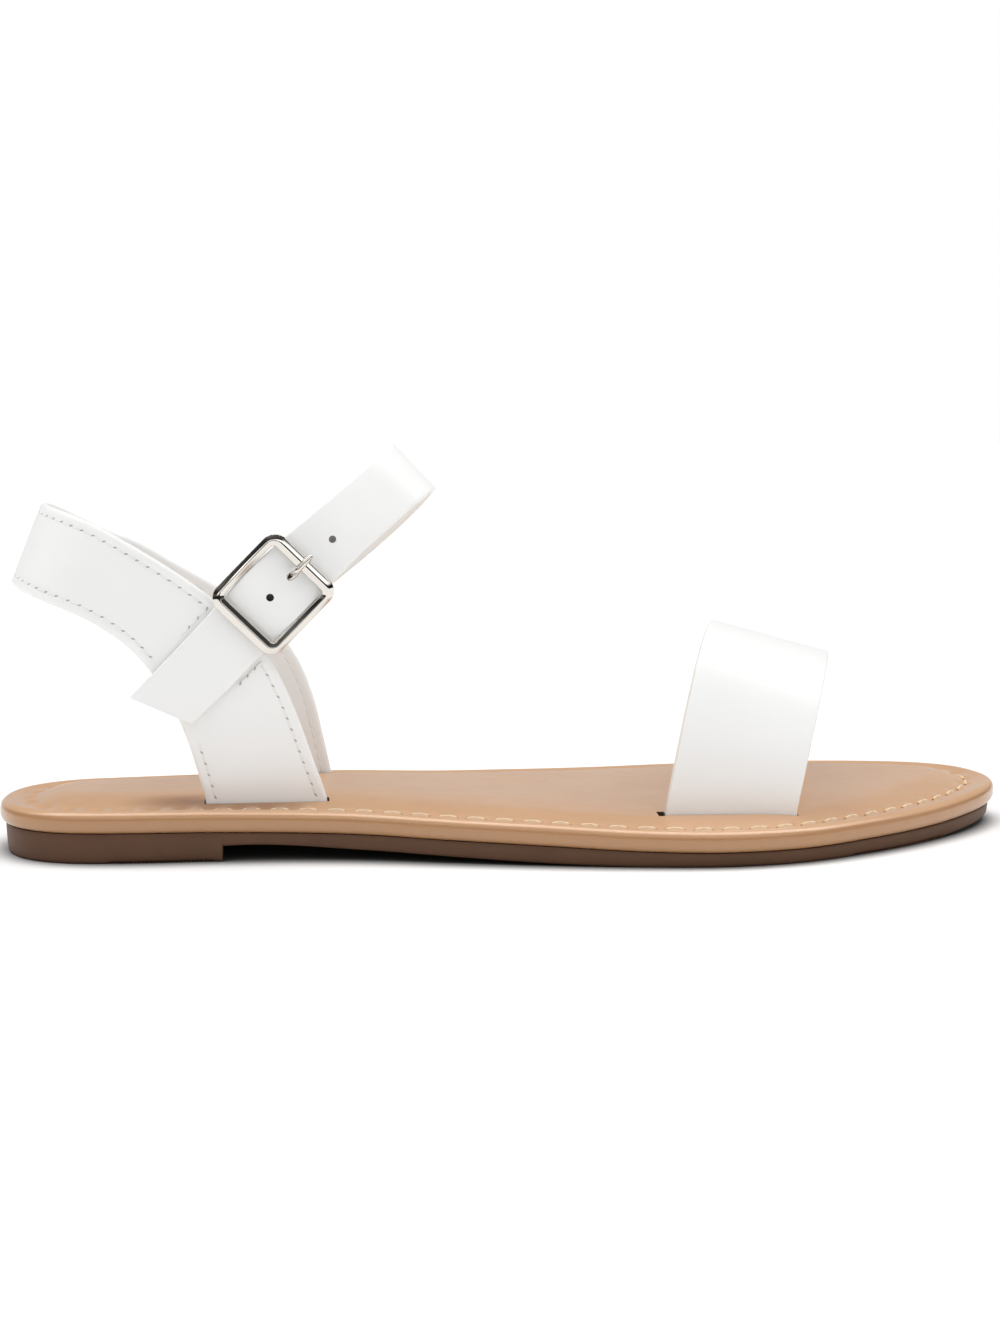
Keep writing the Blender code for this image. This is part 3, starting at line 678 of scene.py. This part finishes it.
heelStrap = {
    "wall": 2.0,
    "columns": 420,
    # turned edge, then the line of stitches pressed in
    "rim": ((0.0, 0.0), (0.06, 0.32), (0.22, 0.6), (0.5, 0.84), (0.9, 0.97), (1.4, 1.0), (1.9, 0.93),
            (2.4, 0.8), (2.9, 0.9), (3.6, 0.98)),
    "middles": np.linspace(0.25, 0.75, 7),
    "endRounding": 0.1,
    "creases": (((29.0, -17.7, 59.4), (32.6, -17.2, 67.8), 2.6, -0.13),
                ((13.6, -14.8, 62.6), (18.6, -13.4, 75.2), 3.0, -0.16),
                ((50.2, -17.3, 36.6), (57.4, -17.6, 43.0), 4.0, 0.12),
                ((29.0, 17.6, 59.0), (31.6, 17.1, 67.0), 2.6, -0.13)),
    "radius": 18.0,
    "taper": 0.12,
    "back": 4.7,
    "backHeight": 63.0,
    "lean": 0.405,
    # degrees round from the back, height of the upper and lower edge, change of the upper
    # on the medial side
    "turns": ((0, 82.1, 63.0, 0.0), (30, 81.6, 62.3, -0.5), (60, 80.0, 60.2, -1.8),
              (90, 76.8, 57.2, -2.2)),
    # station and height of the upper edge and of the lower, and how much further the medial side reaches
    "quarters": (
        (35.4, 71.7, 27.0, 53.4, -2.4),
        (44.3, 66.0, 32.6, 48.9, -1.8),
        (51.7, 60.4, 37.5, 43.0, 0.4),
        (58.2, 54.2, 40.8, 37.2, 3.2),
        (63.9, 47.1, 43.4, 31.7, 4.2),
        (67.5, 40.5, 45.2, 26.6, 4.6),
        (70.7, 32.5, 46.5, 22.2, 4.4),
        (74.0, 22.7, 47.6, 18.0, 3.4),
        (77.1, 13.4, 48.8, 13.4, 2.2),
    ),
    "feet": (77.5, 48.9),
    "footSides": (14.0, 15.8),  # distance of the lateral and medial foot from the middle
    "inward": (40.0, 14.5),     # heights between which the quarters are drawn in to their feet
    "footLift": 0.6,
    "stitchInset": 2.4,
    "stitchPitch": 2.85,
    "stitchWidth": 0.6,
    "stitchShare": 0.8,         # of the pitch, the rest is between the stitches
    "stitchHeight": 0.42,       # share of its width
    "seamSink": 0.82,           # the seam lies at this share of half the wall
    "hole": (1.0, 0.42, 0.12),  # length, width and height of the painted-shade marks in the slits that the needle leaves
    "holeTurn": 24.0,           # degrees from the seam's own direction
    "covered": (9.2, -37.0),    # under the ankle strap: half its width, and its tail
    # short seams beside the buckle: across, and along from start to end
    "tabSeams": ((-8.4, -13.2, -22.0), (9.1, -20.4, -13.2)),
    "tabSeamOut": -0.05,
}


def heelRadius(z):
    return heelStrap["radius"] - heelStrap["taper"] * max(z - heelStrap["backHeight"], 0.0)


def quarterSide(side, z):
    foot = heelStrap["footSides"][side > 0]
    top, bottom = heelStrap["inward"]
    share = min(max((z - bottom) / (top - bottom), 0.0), 1.0)
    return side * (foot + share * (heelRadius(z) - foot))


def heelEdges():
    upper, lower = [], []
    for side in (-1, 1):
        high, low = [], []
        for turn, upperZ, lowerZ, medialZ in heelStrap["turns"]:
            for edge, z in ((high, upperZ + max(side, 0) * medialZ), (low, lowerZ)):
                back = heelStrap["back"] + heelStrap["lean"] * (z - heelStrap["backHeight"])
                angle, radius = math.radians(turn), heelRadius(z)
                edge.append((back + radius * (1 - math.cos(angle)), side * radius * math.sin(angle), z))
        for upperX, upperZ, lowerX, lowerZ, medialX in heelStrap["quarters"]:
            ahead = max(side, 0) * medialX
            high.append((upperX + ahead, quarterSide(side, upperZ), upperZ))
            low.append((lowerX + ahead / 2, quarterSide(side, lowerZ), lowerZ))
        y = quarterSide(side, 0.0)
        for edge, x in ((high, heelStrap["feet"][0] + ahead), (low, heelStrap["feet"][1] + ahead / 2)):
            edge.append((x, y, float(seatHeight(x, y)) + heelStrap["footLift"]))
        upper.extend(high[::-1] if side < 0 else high[1:])
        lower.extend(low[::-1] if side < 0 else low[1:])
    return np.array(upper), np.array(lower)


heelUpper, heelLower = heelEdges()


def heelMiddle(along, across):
    low, high = throughRows(along, heelLower), throughRows(along, heelUpper)
    return low + np.asarray(across)[..., None] * (high - low)


heelPiece = newObject("heel_strap_leather", makeBand(heelMiddle, heelStrap), coatedLeather)
finishPiece(heelPiece, "heel_and_ankle_strap")


# Buckle directions: along the ankle strap, across it, and outward from the quarter

buckle = {
    "centre": (65.3, 61.9),  # station and height
    "tilt": 45.4,            # degrees that the strap climbs there
    "window": (16.4, 15.8),  # along and across
    "endBar": 3.1,
    "sideBar": 2.5,
    "depth": 2.6,
    # round the bar: share of its width from the inner edge, share of its depth from the middle
    "section": ((0.0, -0.3), (0.0, 0.0), (0.02, 0.12), (0.06, 0.21), (0.12, 0.262), (0.2, 0.325),
                (0.28, 0.388), (0.35, 0.443), (0.4, 0.479), (0.44, 0.495), (0.48, 0.5), (0.53, 0.494),
                (0.58, 0.477), (0.64, 0.451), (0.7, 0.417), (0.77, 0.376), (0.85, 0.327), (0.92, 0.281),
                (0.975, 0.243), (0.995, 0.16), (1.0, -0.1), (0.985, -0.34), (0.93, -0.46), (0.8, -0.5),
                (0.5, -0.5), (0.2, -0.5), (0.05, -0.44)),
    "outerCorner": 3.6,
    "innerCorner": 0.9,
    "lift": 3.7,             # middle of the end bars, out from the quarter
    "bow": 1.0,              # the side bars dip this far at the pin
    "cornerColumns": 12,
    "barColumns": 10,
    "sectionRows": 88,
    "pinRadius": 0.95,
    "pinGap": 0.3,           # round the pin, in the tab and in the prong's loop
    "pinDepth": -1.3,
    "earRadius": 1.0,
    "earInset": 0.15,        # from the side bar's outer edge
    "earReach": 1.14,        # on beyond the pin's middle
}


def bucklePoints(along, across, outward):
    tilt = math.radians(buckle["tilt"])
    x = buckle["centre"][0] + along * math.cos(tilt) + across * math.sin(tilt)
    z = buckle["centre"][1] + along * math.sin(tilt) - across * math.cos(tilt)
    return np.stack((x, -(heelStrap["radius"] + heelStrap["wall"] / 2 + outward), z), axis=-1)


def buckleDirections(points):
    tilt = math.radians(buckle["tilt"])
    x, z = points[..., 0] - buckle["centre"][0], points[..., 2] - buckle["centre"][1]
    return x * math.cos(tilt) + z * math.sin(tilt), x * math.sin(tilt) - z * math.cos(tilt)


# Stitches of the heel strap: a row inside each edge on both faces, and two short seams at the buckle's tab

def sewRow(points, normals, skip=None):
    # frames of the stitches and of the painted-shade marks in the needle's slits along one seam
    length = runLength(points)
    count = max(round(length[-1] / heelStrap["stitchPitch"]), 1)
    at = np.linspace(0, length[-1], count + 1)
    spots, outs = pointsAt(at, length, points), pointsAt(at, length, normals)
    bare = np.zeros(count + 1, bool) if skip is None else skip(spots)
    kept = ~(bare[:-1] | bare[1:])
    starts, ends, outs = toWorld(spots[:-1][kept]), toWorld(spots[1:][kept]), outs[:-1][kept]
    pause = (ends - starts) * (1 - heelStrap["stitchShare"]) / 2
    width = heelStrap["stitchWidth"] * mm
    stitches = layFrames(starts + pause, ends - pause, outs, width, width * heelStrap["stitchHeight"])
    ahead = unit(ends - starts)
    turn = math.radians(heelStrap["holeTurn"])
    ahead = ahead * math.cos(turn) + np.cross(outs, ahead) * math.sin(turn)
    slitLength, slitWidth, slitHeight = heelStrap["hole"]
    reach = ahead * slitLength / 2 * mm
    slits = layFrames(starts - reach, starts + reach, outs, slitWidth * mm, slitHeight * mm)
    return stitches, slits


def underAnkleStrap(spots):
    along, across = buckleDirections(spots)
    halfWidth, tail = heelStrap["covered"]
    return (spots[:, 1] < 0) & (np.abs(across) < halfWidth) & (along > tail)


heelSeams = []
alongTable = np.linspace(0.04, 0.96, 900)  # the seams end in the slits
heelWidth = np.linalg.norm(throughRows(alongTable, heelUpper) - throughRows(alongTable, heelLower), axis=1)
for face in (1, -1):
    for edge in (0, 1):
        across = edge + (1 - 2 * edge) * heelStrap["stitchInset"] / heelWidth
        normals = bandNormal(heelMiddle, alongTable, across) * face
        points = heelMiddle(alongTable, across) + normals * heelStrap["wall"] / 2 * heelStrap["seamSink"]
        heelSeams.append((*sewRow(points, normals, underAnkleStrap if face > 0 else None), face))
for across, start, end in heelStrap["tabSeams"]:
    along = np.linspace(start, end, 20)
    points = bucklePoints(along, np.full_like(along, across), np.full_like(along, heelStrap["tabSeamOut"]))
    heelSeams.append((*sewRow(points, np.tile((0.0, -1.0, 0.0), (len(along), 1))), 1))
heelStitches = np.concatenate([stitches for stitches, _, _ in heelSeams])
heelHoleShades = np.concatenate([slits for _, slits, face in heelSeams if face > 0])  # painted-shade marks of the needle's slits, on the outer faces only: the lining's close up
for name, fullness, frames, material in (("heel_strap_thread", 0.6, heelStitches, whiteThread),
                                         ("heel_strap_needle_hole_shades", 0.8, heelHoleShades, holeShadeInWhite)):
    finishPiece(repeatShape(name, roundShape(fullness), frames, material))


# Ankle strap: from its cut tail up through the buckle, over the instep and down to the medial quarter

ankleStrap = {
    "wall": 1.6,
    "columns": 300,
    "rim": ((0.0, 0.0), (0.03, 0.4), (0.12, 0.72), (0.28, 0.93), (0.5, 1.0)),
    "middles": np.linspace(0.12, 0.88, 9),
    "endRounding": 0.2,
    "creases": (((73.0, -19.4, 75.2), (79.0, -19.2, 67.6), 1.8, -0.14),
                ((88.6, -12.6, 87.6), (93.6, -12.8, 80.6), 3.0, -0.14),
                ((89.6, 13.0, 84.0), (93.6, 13.2, 77.6), 3.0, -0.14)),
    # middle line, width, steepness of the width in degrees, how far the lower edge stands out,
    # slant of the end
    "rows": (
        (39.2, -19.4, 35.0, 14.6, 45.0, 1.5, 5.4),
        (47.4, -20.0, 43.1, 15.0, 44.0, 0.3, 2.0),
        (55.6, -20.1, 51.6, 15.2, 44.0, 0.0, 0.0),
        (59.1, -20.2, 55.4, 15.5, 44.8, 0.0, 0.0),
        (65.3, -21.3, 61.9, 15.7, 45.0, 0.0, 0.0),
        (72.0, -20.2, 68.2, 15.4, 46.4, 0.0, 0.0),
        (81.0, -17.8, 76.2, 14.4, 49.0, 0.0, 0.0),
        (89.2, -13.2, 82.9, 14.1, 48.2, -1.6, 0.0),
        (95.7, -7.5, 88.0, 14.2, 47.5, -3.0, 0.0),
        (99.0, 0.0, 89.9, 14.4, 47.0, -3.0, 0.0),
        (96.5, 7.2, 85.8, 14.4, 47.0, -1.0, 0.0),
        (90.8, 13.2, 79.6, 14.4, 47.5, 0.0, 0.0),
        (82.4, 17.6, 71.9, 14.4, 47.0, 0.0, 0.0),
        (70.6, 19.5, 62.4, 14.8, 45.5, 0.0, 0.0),
        (59.6, 19.5, 53.6, 15.2, 44.5, 0.0, 0.0),
        (50.6, 19.5, 44.6, 15.2, 44.0, 0.0, 0.0),
    ),
    # holes in the buckle's directions: along, across, half length, half width, how far out they start,
    # and the painted shade that colours their walls
    "holes": (
        (-1.1, 0.0, 0.9, 0.9, 1.8, shadeInWhiteCuts),
        (6.6, 0.0, 2.0, 1.1, -6.0, shadeInWhiteCuts),
        (18.4, 1.1, 0.85, 0.85, -1.0, holeShadeInWhite),
    ),
    "holeEnd": 6.0,
}
tailAhead = unit(np.subtract(ankleStrap["rows"][1], ankleStrap["rows"][0])[[0, 2]])  # station and height


def ankleMiddle(along, across):
    x, y, z, width, fall, flare, slant = throughRows(along, ankleStrap["rows"]).T
    out, drop = across - 0.5, np.radians(fall)
    x = x + out * (width * np.cos(drop) + slant * tailAhead[0])
    z = z + out * (slant * tailAhead[1] - width * np.sin(drop))
    return np.stack((x, y + out * flare, z), axis=-1)


def buckleCylinder(radii, start, end):
    # round bar between two points in the buckle's directions
    bm = bmesh.new()
    bmesh.ops.create_cone(bm, cap_ends=True, segments=24, radius1=1.0, radius2=1.0, depth=1.0)
    start, end = Vector(start), Vector(end)
    turn = (end - start).to_track_quat("Z", "Y")
    for vert in bm.verts:
        local = Vector((vert.co.x * radii[0], vert.co.y * radii[1], vert.co.z * (end - start).length))
        vert.co = toWorld(bucklePoints(*((start + end) / 2 + turn @ local)))
    faceOutward(bm)
    return bm


anklePiece = newObject("ankle_strap_leather", makeBand(ankleMiddle, ankleStrap), coatedLeather)
holeCutters = []
for along, across, halfLength, halfWidth, start, wall in ankleStrap["holes"]:
    outer = (along, across, ankleStrap["holeEnd"])
    cutter = buckleCylinder((halfLength, halfWidth), (along, across, start), outer)
    holeCutters.append(newObject("hole", cutter, wall))
cutOut(anklePiece, holeCutters)
finishPiece(anklePiece)


# Slits of the footbed, along the feet of both straps

def slitCutter(rear, front, wall, spare):
    ahead = unit((front - rear) * np.array((1, 1, 0)))
    side = np.array((-ahead[1], ahead[0], 0)) * (wall + 2 * footbed["slitSpare"])
    start, end = rear - ahead * spare[0], front + ahead * spare[1]
    low, high = footbed["slitHeights"]
    bm = bmesh.new()
    bmesh.ops.create_cube(bm, size=1.0)
    for vert in bm.verts:
        spot = start + (end - start) * (vert.co.x + 0.5) + side * vert.co.y
        spot[2] = low + (high - low) * (vert.co.z + 0.5)
        vert.co = toWorld(spot)
    faceOutward(bm)
    # the slit's walls are dark painted shade
    return newObject("slit", bm, shadeInTanCuts)


slitCutters = []
frontEnds, quarterEnds = footbed["slitEnds"]
behind, gape = footbed["frontSlitEnd"]
for share in (0.0, 1.0):
    rear, front = (frontEdge(edge, np.array(share)) for edge in frontStrap["edges"])
    slitCutters.append(slitCutter(rear, front, frontStrap["wall"], frontEnds))
    slitCutters.append(slitCutter(rear + behind * (rear - front), rear, gape, (0, 0)))
for end in (0, -1):
    slitCutters.append(slitCutter(heelLower[end], heelUpper[end], heelStrap["wall"], quarterEnds))
cutOut(footbedPiece, slitCutters)
leans = np.empty(3 * len(footbedPiece.data.vertices))
footbedPiece.data.vertex_normals.foreach_get("vector", leans)
rolled = footbedPiece.data.attributes.new("rolled", "FLOAT", "POINT")  # painted shade mask for the rolled edge's side faces, read by the tan wrap's material
rolled.data.foreach_set("value", softStep((footbed["rimShadeTurn"] - leans[2::3]) / footbed["rimShadeBlend"]))
finishPiece(footbedPiece, "footbed", sharp=50)


# Buckle: frame with two ears and a pin, then the prong

def ringSpot(turn, share):
    # rounded rectangle a share of the way out over the bars
    halfAlong = buckle["window"][0] / 2 + buckle["endBar"] * share
    halfAcross = buckle["window"][1] / 2 + buckle["sideBar"] * share
    corner = buckle["innerCorner"] + (buckle["outerCorner"] - buckle["innerCorner"]) * share
    whole = buckle["cornerColumns"] + buckle["barColumns"]
    step = np.round(turn * 4 * whole)
    quarter, inside = np.mod(step // whole, 4), np.mod(step, whole)

    def cornerPoint(quarter, angle):
        middle = (quarter + 0.5) * np.pi / 2
        return (np.sign(np.cos(middle)) * (halfAlong - corner) + corner * np.cos(angle),
                np.sign(np.sin(middle)) * (halfAcross - corner) + corner * np.sin(angle))

    bent = np.minimum(inside / buckle["cornerColumns"], 1)
    along, across = cornerPoint(quarter, (quarter + bent) * np.pi / 2)
    nextAlong, nextAcross = cornerPoint(np.mod(quarter + 1, 4), (quarter + 1) * np.pi / 2)
    straight = np.clip((inside - buckle["cornerColumns"]) / buckle["barColumns"], 0, 1)
    along, across = along + straight * (nextAlong - along), across + straight * (nextAcross - across)
    return along, across, buckle["bow"] * (1 - (along / halfAlong) ** 2)


def placeFrame(turn, around):
    section = buckle["section"]
    wrapped = section[-2:] + section + section[:3]
    at = np.mod(around, 1.0) * len(section) + 2
    counts = np.arange(len(wrapped))
    share, height = (curveThrough(at, counts, column) for column in np.array(wrapped).T)
    along, across, dip = ringSpot(turn, share)
    return bucklePoints(along, across, buckle["lift"] - dip + buckle["depth"] * height)


frameColumns = 4 * (buckle["cornerColumns"] + buckle["barColumns"])
frameMesh = makeSkin(frameColumns, buckle["sectionRows"], placeFrame)
earMiddle = buckle["window"][1] / 2 + buckle["sideBar"] - buckle["earRadius"] - buckle["earInset"]
pinEnds = [(0, side * earMiddle, buckle["pinDepth"]) for side in (-1, 1)]
bars = [(buckle["pinRadius"], *pinEnds)]
for side in (-1, 1):
    foot = (0, side * earMiddle, buckle["pinDepth"] - buckle["earReach"])
    head = (0, side * earMiddle, buckle["lift"] - buckle["bow"])
    bars.append((buckle["earRadius"], foot, head))
for radius, start, end in bars:
    spare = bpy.data.meshes.new("bar")
    bar = buckleCylinder((radius, radius), start, end)
    bar.to_mesh(spare)
    bar.free()
    frameMesh.from_mesh(spare)
    bpy.data.meshes.remove(spare)
finishPiece(newObject("buckle_frame_nickel", frameMesh, polishedNickel), "buckle_frame", sharp=50)

prong = {
    "radius": 0.66,
    "loop": (-10.0, -270.0),  # degrees round the pin
    "loopSteps": 10,
    # along and outward
    "rows": ((3.0, 0.2), (4.8, 0.3), (6.0, 1.2), (6.7, 2.6), (6.9, 4.2), (7.3, 5.4), (8.3, 6.0),
             (10.3, 6.0), (12.6, 5.4)),
    "columns": 150,
    "sides": 16,
    "tip": 0.7,  # length of the rounded tip
}


def prongPath():
    reach = buckle["pinRadius"] + buckle["pinGap"] + prong["radius"]
    angles = np.radians(np.linspace(*prong["loop"], prong["loopSteps"] + 1))
    loop = np.column_stack((reach * np.cos(angles), buckle["pinDepth"] + reach * np.sin(angles)))
    rows = np.vstack((loop, prong["rows"]))
    return throughRows(np.linspace(0, 1, 600), rows)


prongLine = prongPath()
prongLength = runLength(prongLine)


def placeProng(along, around):
    at = along * prongLength[-1]
    before, spot, after = (pointsAt(at + step, prongLength, prongLine) for step in (-0.1, 0.0, 0.1))
    ahead = unit(after - before)
    toEnd = np.minimum(at, prongLength[-1] - at)
    slim = np.sqrt(np.clip(1 - (1 - np.minimum(toEnd / prong["tip"], 1)) ** 2, 0, 1))
    angle = 2 * np.pi * around
    aside = prong["radius"] * slim * np.cos(angle)
    out = prong["radius"] * slim * np.sin(angle)
    return bucklePoints(spot[:, 0] - out * ahead[:, 1], aside, spot[:, 1] + out * ahead[:, 0])


prongSkin = makeSkin(prong["columns"], prong["sides"], placeProng)
finishPiece(newObject("buckle_prong_nickel", prongSkin, polishedNickel), "buckle_prong")


# Tab: end of the lateral quarter, folded round the buckle's pin

tab = {
    "wall": 1.0,
    "width": 13.0,
    "reach": 13.5,  # back along the quarter
    "sink": 0.35,   # into the quarter, from both of its faces
    "turn": 95.0,   # degrees round the pin to each side
    "steps": 24,
    "slot": (8.0, 2.4, 12.0),  # for the prong: along, across, outward
}


def makeTab():
    radius = buckle["pinRadius"] + buckle["pinGap"] + tab["wall"]
    angles = np.radians(np.linspace(-tab["turn"], tab["turn"], tab["steps"] + 1))
    outline = [(radius * math.cos(angle), buckle["pinDepth"] + radius * math.sin(angle))
               for angle in angles]
    outline += [(-tab["reach"], -tab["sink"]), (-tab["reach"], tab["sink"] - heelStrap["wall"])]
    bm = bmesh.new()
    ring = [bm.verts.new(toWorld(bucklePoints(along, -tab["width"] / 2, out))) for along, out in outline]
    face = bm.faces.new(ring)
    moved = bmesh.ops.extrude_face_region(bm, geom=[face])["geom"]
    across = toWorld(bucklePoints(0, tab["width"], 0)) - toWorld(bucklePoints(0, 0, 0))
    bmesh.ops.translate(bm, verts=[v for v in moved if isinstance(v, bmesh.types.BMVert)], vec=across)
    faceOutward(bm)
    return newObject("buckle_tab_leather", bm, coatedLeather)


tabPiece = makeTab()
boreRadius = buckle["pinRadius"] + buckle["pinGap"]
bore = buckleCylinder((boreRadius, boreRadius), (0, -tab["width"], buckle["pinDepth"]),
                      (0, tab["width"], buckle["pinDepth"]))
slot = bmesh.new()
bmesh.ops.create_cube(slot, size=1.0)
for vert in slot.verts:
    along, across, outward = (size * share for size, share in zip(tab["slot"], vert.co))
    vert.co = toWorld(bucklePoints(along, across, buckle["pinDepth"] + outward))
faceOutward(slot)
# the bore's and slot's walls are dark painted shade
cutOut(tabPiece, [newObject("bore", bore, shadeInWhiteCuts), newObject("slot", slot, shadeInWhiteCuts)])
finishPiece(tabPiece)
print("sandal: pieces made")


# Stage: pale floor, soft light and the camera

studio = {
    "floor": "#f6f6f6",
    "cloud": 250.0,
    "paintedShadowReach": 12.0,        # painted shadow: the floor darkens this near to what stands on it,
    "openness": (0.3, 0.72),  # from its darkest to its own tone between these open shares,
    "paintedShadowTone": 0.1,     # and at its darkest keeps this much
    "backdrop": 1.0,        # the room as the camera sees it
    # the room that lights the sandal, and the lamps and flags that its gloss and metal mirror:
    # degrees from the front over the top to the back, and brightness
    "lit": ((0, 0.5), (30, 0.5), (42, 1.35), (62, 1.35), (70, 0.27), (84, 2.07), (124, 2.07), (132, 0.1),
            (180, 0.36)),
    "mirrored": ((0, 0.02), (24, 0.02), (28, 2.3), (38, 2.3), (42, 0.04), (58, 0.07), (68, 0.22), (74, 0.3),
                 (80, 5.0), (98, 5.0), (104, 0.3), (150, 0.3), (158, 0.55), (180, 0.55)),
    "flags": (0.55, 0.85),  # how far aside the dark flags at heel and toe begin and are full
    "flagTone": 0.05,
    "fromHeel": -0.05,      # brighter on the heel's side by this share, below zero on the toe's
    "cameraPlace": (-60.2, -491.8, 103.0),
    "pitch": 7.055,  # degrees below level
    "yaw": 6.5,      # degrees turned to the toe
    "lens": 55.25,
    "sensor": 36.0,
}


def makeStage():
    floorMaterial, shader = newMaterial("pale_floor_with_painted_shadow", {"Roughness": 0.9, "Specular IOR Level": 0.1})
    cloud = addNoise(floorMaterial, objectSpot(floorMaterial), studio["cloud"], 2.0)
    tone = mixTone(floorMaterial, cloud, hexColor(studio["floor"]), hexColor("#ffffff"))
    # painted contact shadow: ambient occlusion darkens the floor's colour near the sandal
    openness = addNode(floorMaterial, "ShaderNodeAmbientOcclusion", {
        "Distance": studio["paintedShadowReach"] * mm}, samples=16)
    near = addNode(floorMaterial, "ShaderNodeMapRange", {
        "Value": openness.outputs["AO"], "From Min": studio["openness"][0],
        "From Max": studio["openness"][1], "To Min": studio["paintedShadowTone"]})
    withPaintedShadow = mixTone(floorMaterial, near.outputs["Result"], hexColor("#000000"), tone)
    linkAll(floorMaterial, shader, {"Base Color": withPaintedShadow})
    bm = bmesh.new()
    bmesh.ops.create_grid(bm, x_segments=1, y_segments=1, size=6.0)
    newObject("floor", bm, floorMaterial)

    world = bpy.data.worlds.new("white_room")
    world.use_nodes = True
    background = world.node_tree.nodes["Background"]
    toward = addNode(world, "ShaderNodeTexCoord", {}).outputs["Generated"]
    axes = addNode(world, "ShaderNodeSeparateXYZ", {"Vector": toward}).outputs
    front = addNode(world, "ShaderNodeMath", {0: axes["Y"], 1: -1.0}, operation="MULTIPLY").outputs[0]
    over = addNode(world, "ShaderNodeMath", {0: axes["Z"], 1: front}, operation="ARCTAN2").outputs[0]
    angle = addNode(world, "ShaderNodeMapRange", {"Value": over, "From Max": math.pi}).outputs["Result"]
    levels = []
    for room in (studio["lit"], studio["mirrored"]):
        brightest = max(level for _, level in room)
        bands = addNode(world, "ShaderNodeValToRGB", {"Fac": angle})
        stops = bands.color_ramp.elements
        for degrees, level in room[1:-1]:
            stops.new(degrees / 180).color = [level / brightest] * 3 + [1.0]
        stops[0].color = [room[0][1] / brightest] * 3 + [1.0]
        stops[len(stops) - 1].color = [room[-1][1] / brightest] * 3 + [1.0]
        aside = addNode(world, "ShaderNodeMath", {
            0: axes["X"], 1: -studio["fromHeel"] * brightest, 2: brightest}, operation="MULTIPLY_ADD")
        levels.append(addNode(world, "ShaderNodeMath", {
            0: bands.outputs["Color"], 1: aside.outputs[0]}, operation="MULTIPLY").outputs[0])
    path = addNode(world, "ShaderNodeLightPath", {}).outputs
    across = addNode(world, "ShaderNodeMath", {0: axes["X"]}, operation="ABSOLUTE").outputs[0]
    flagged = addNode(world, "ShaderNodeMapRange", {
        "Value": across, "From Min": studio["flags"][0], "From Max": studio["flags"][1],
        "To Min": 1.0, "To Max": studio["flagTone"]})
    mirrored = addNode(world, "ShaderNodeMath", {
        0: levels[1], 1: flagged.outputs["Result"]}, operation="MULTIPLY").outputs[0]
    sent = addNode(world, "ShaderNodeMix", {
        0: path["Is Glossy Ray"], 2: levels[0], 3: mirrored}).outputs[0]
    level = addNode(world, "ShaderNodeMix", {
        0: path["Is Camera Ray"], 2: sent, 3: studio["backdrop"]}).outputs[0]
    linkAll(world, background, {"Strength": level})
    background.inputs["Color"].default_value = hexColor("#ffffff")
    scene.world = world

    eye = bpy.data.cameras.new("camera")
    eye.lens, eye.sensor_width = studio["lens"], studio["sensor"]
    eye.clip_start, eye.clip_end = 0.01, 50.0
    camera = bpy.data.objects.new("camera", eye)
    camera.location = Vector(studio["cameraPlace"]) * mm
    camera.rotation_euler = (math.radians(90 - studio["pitch"]), 0, math.radians(-studio["yaw"]))
    scene.collection.objects.link(camera)
    scene.camera = camera
    scene.view_settings.view_transform = "Standard"


makeStage()
print("sandal: stage made")
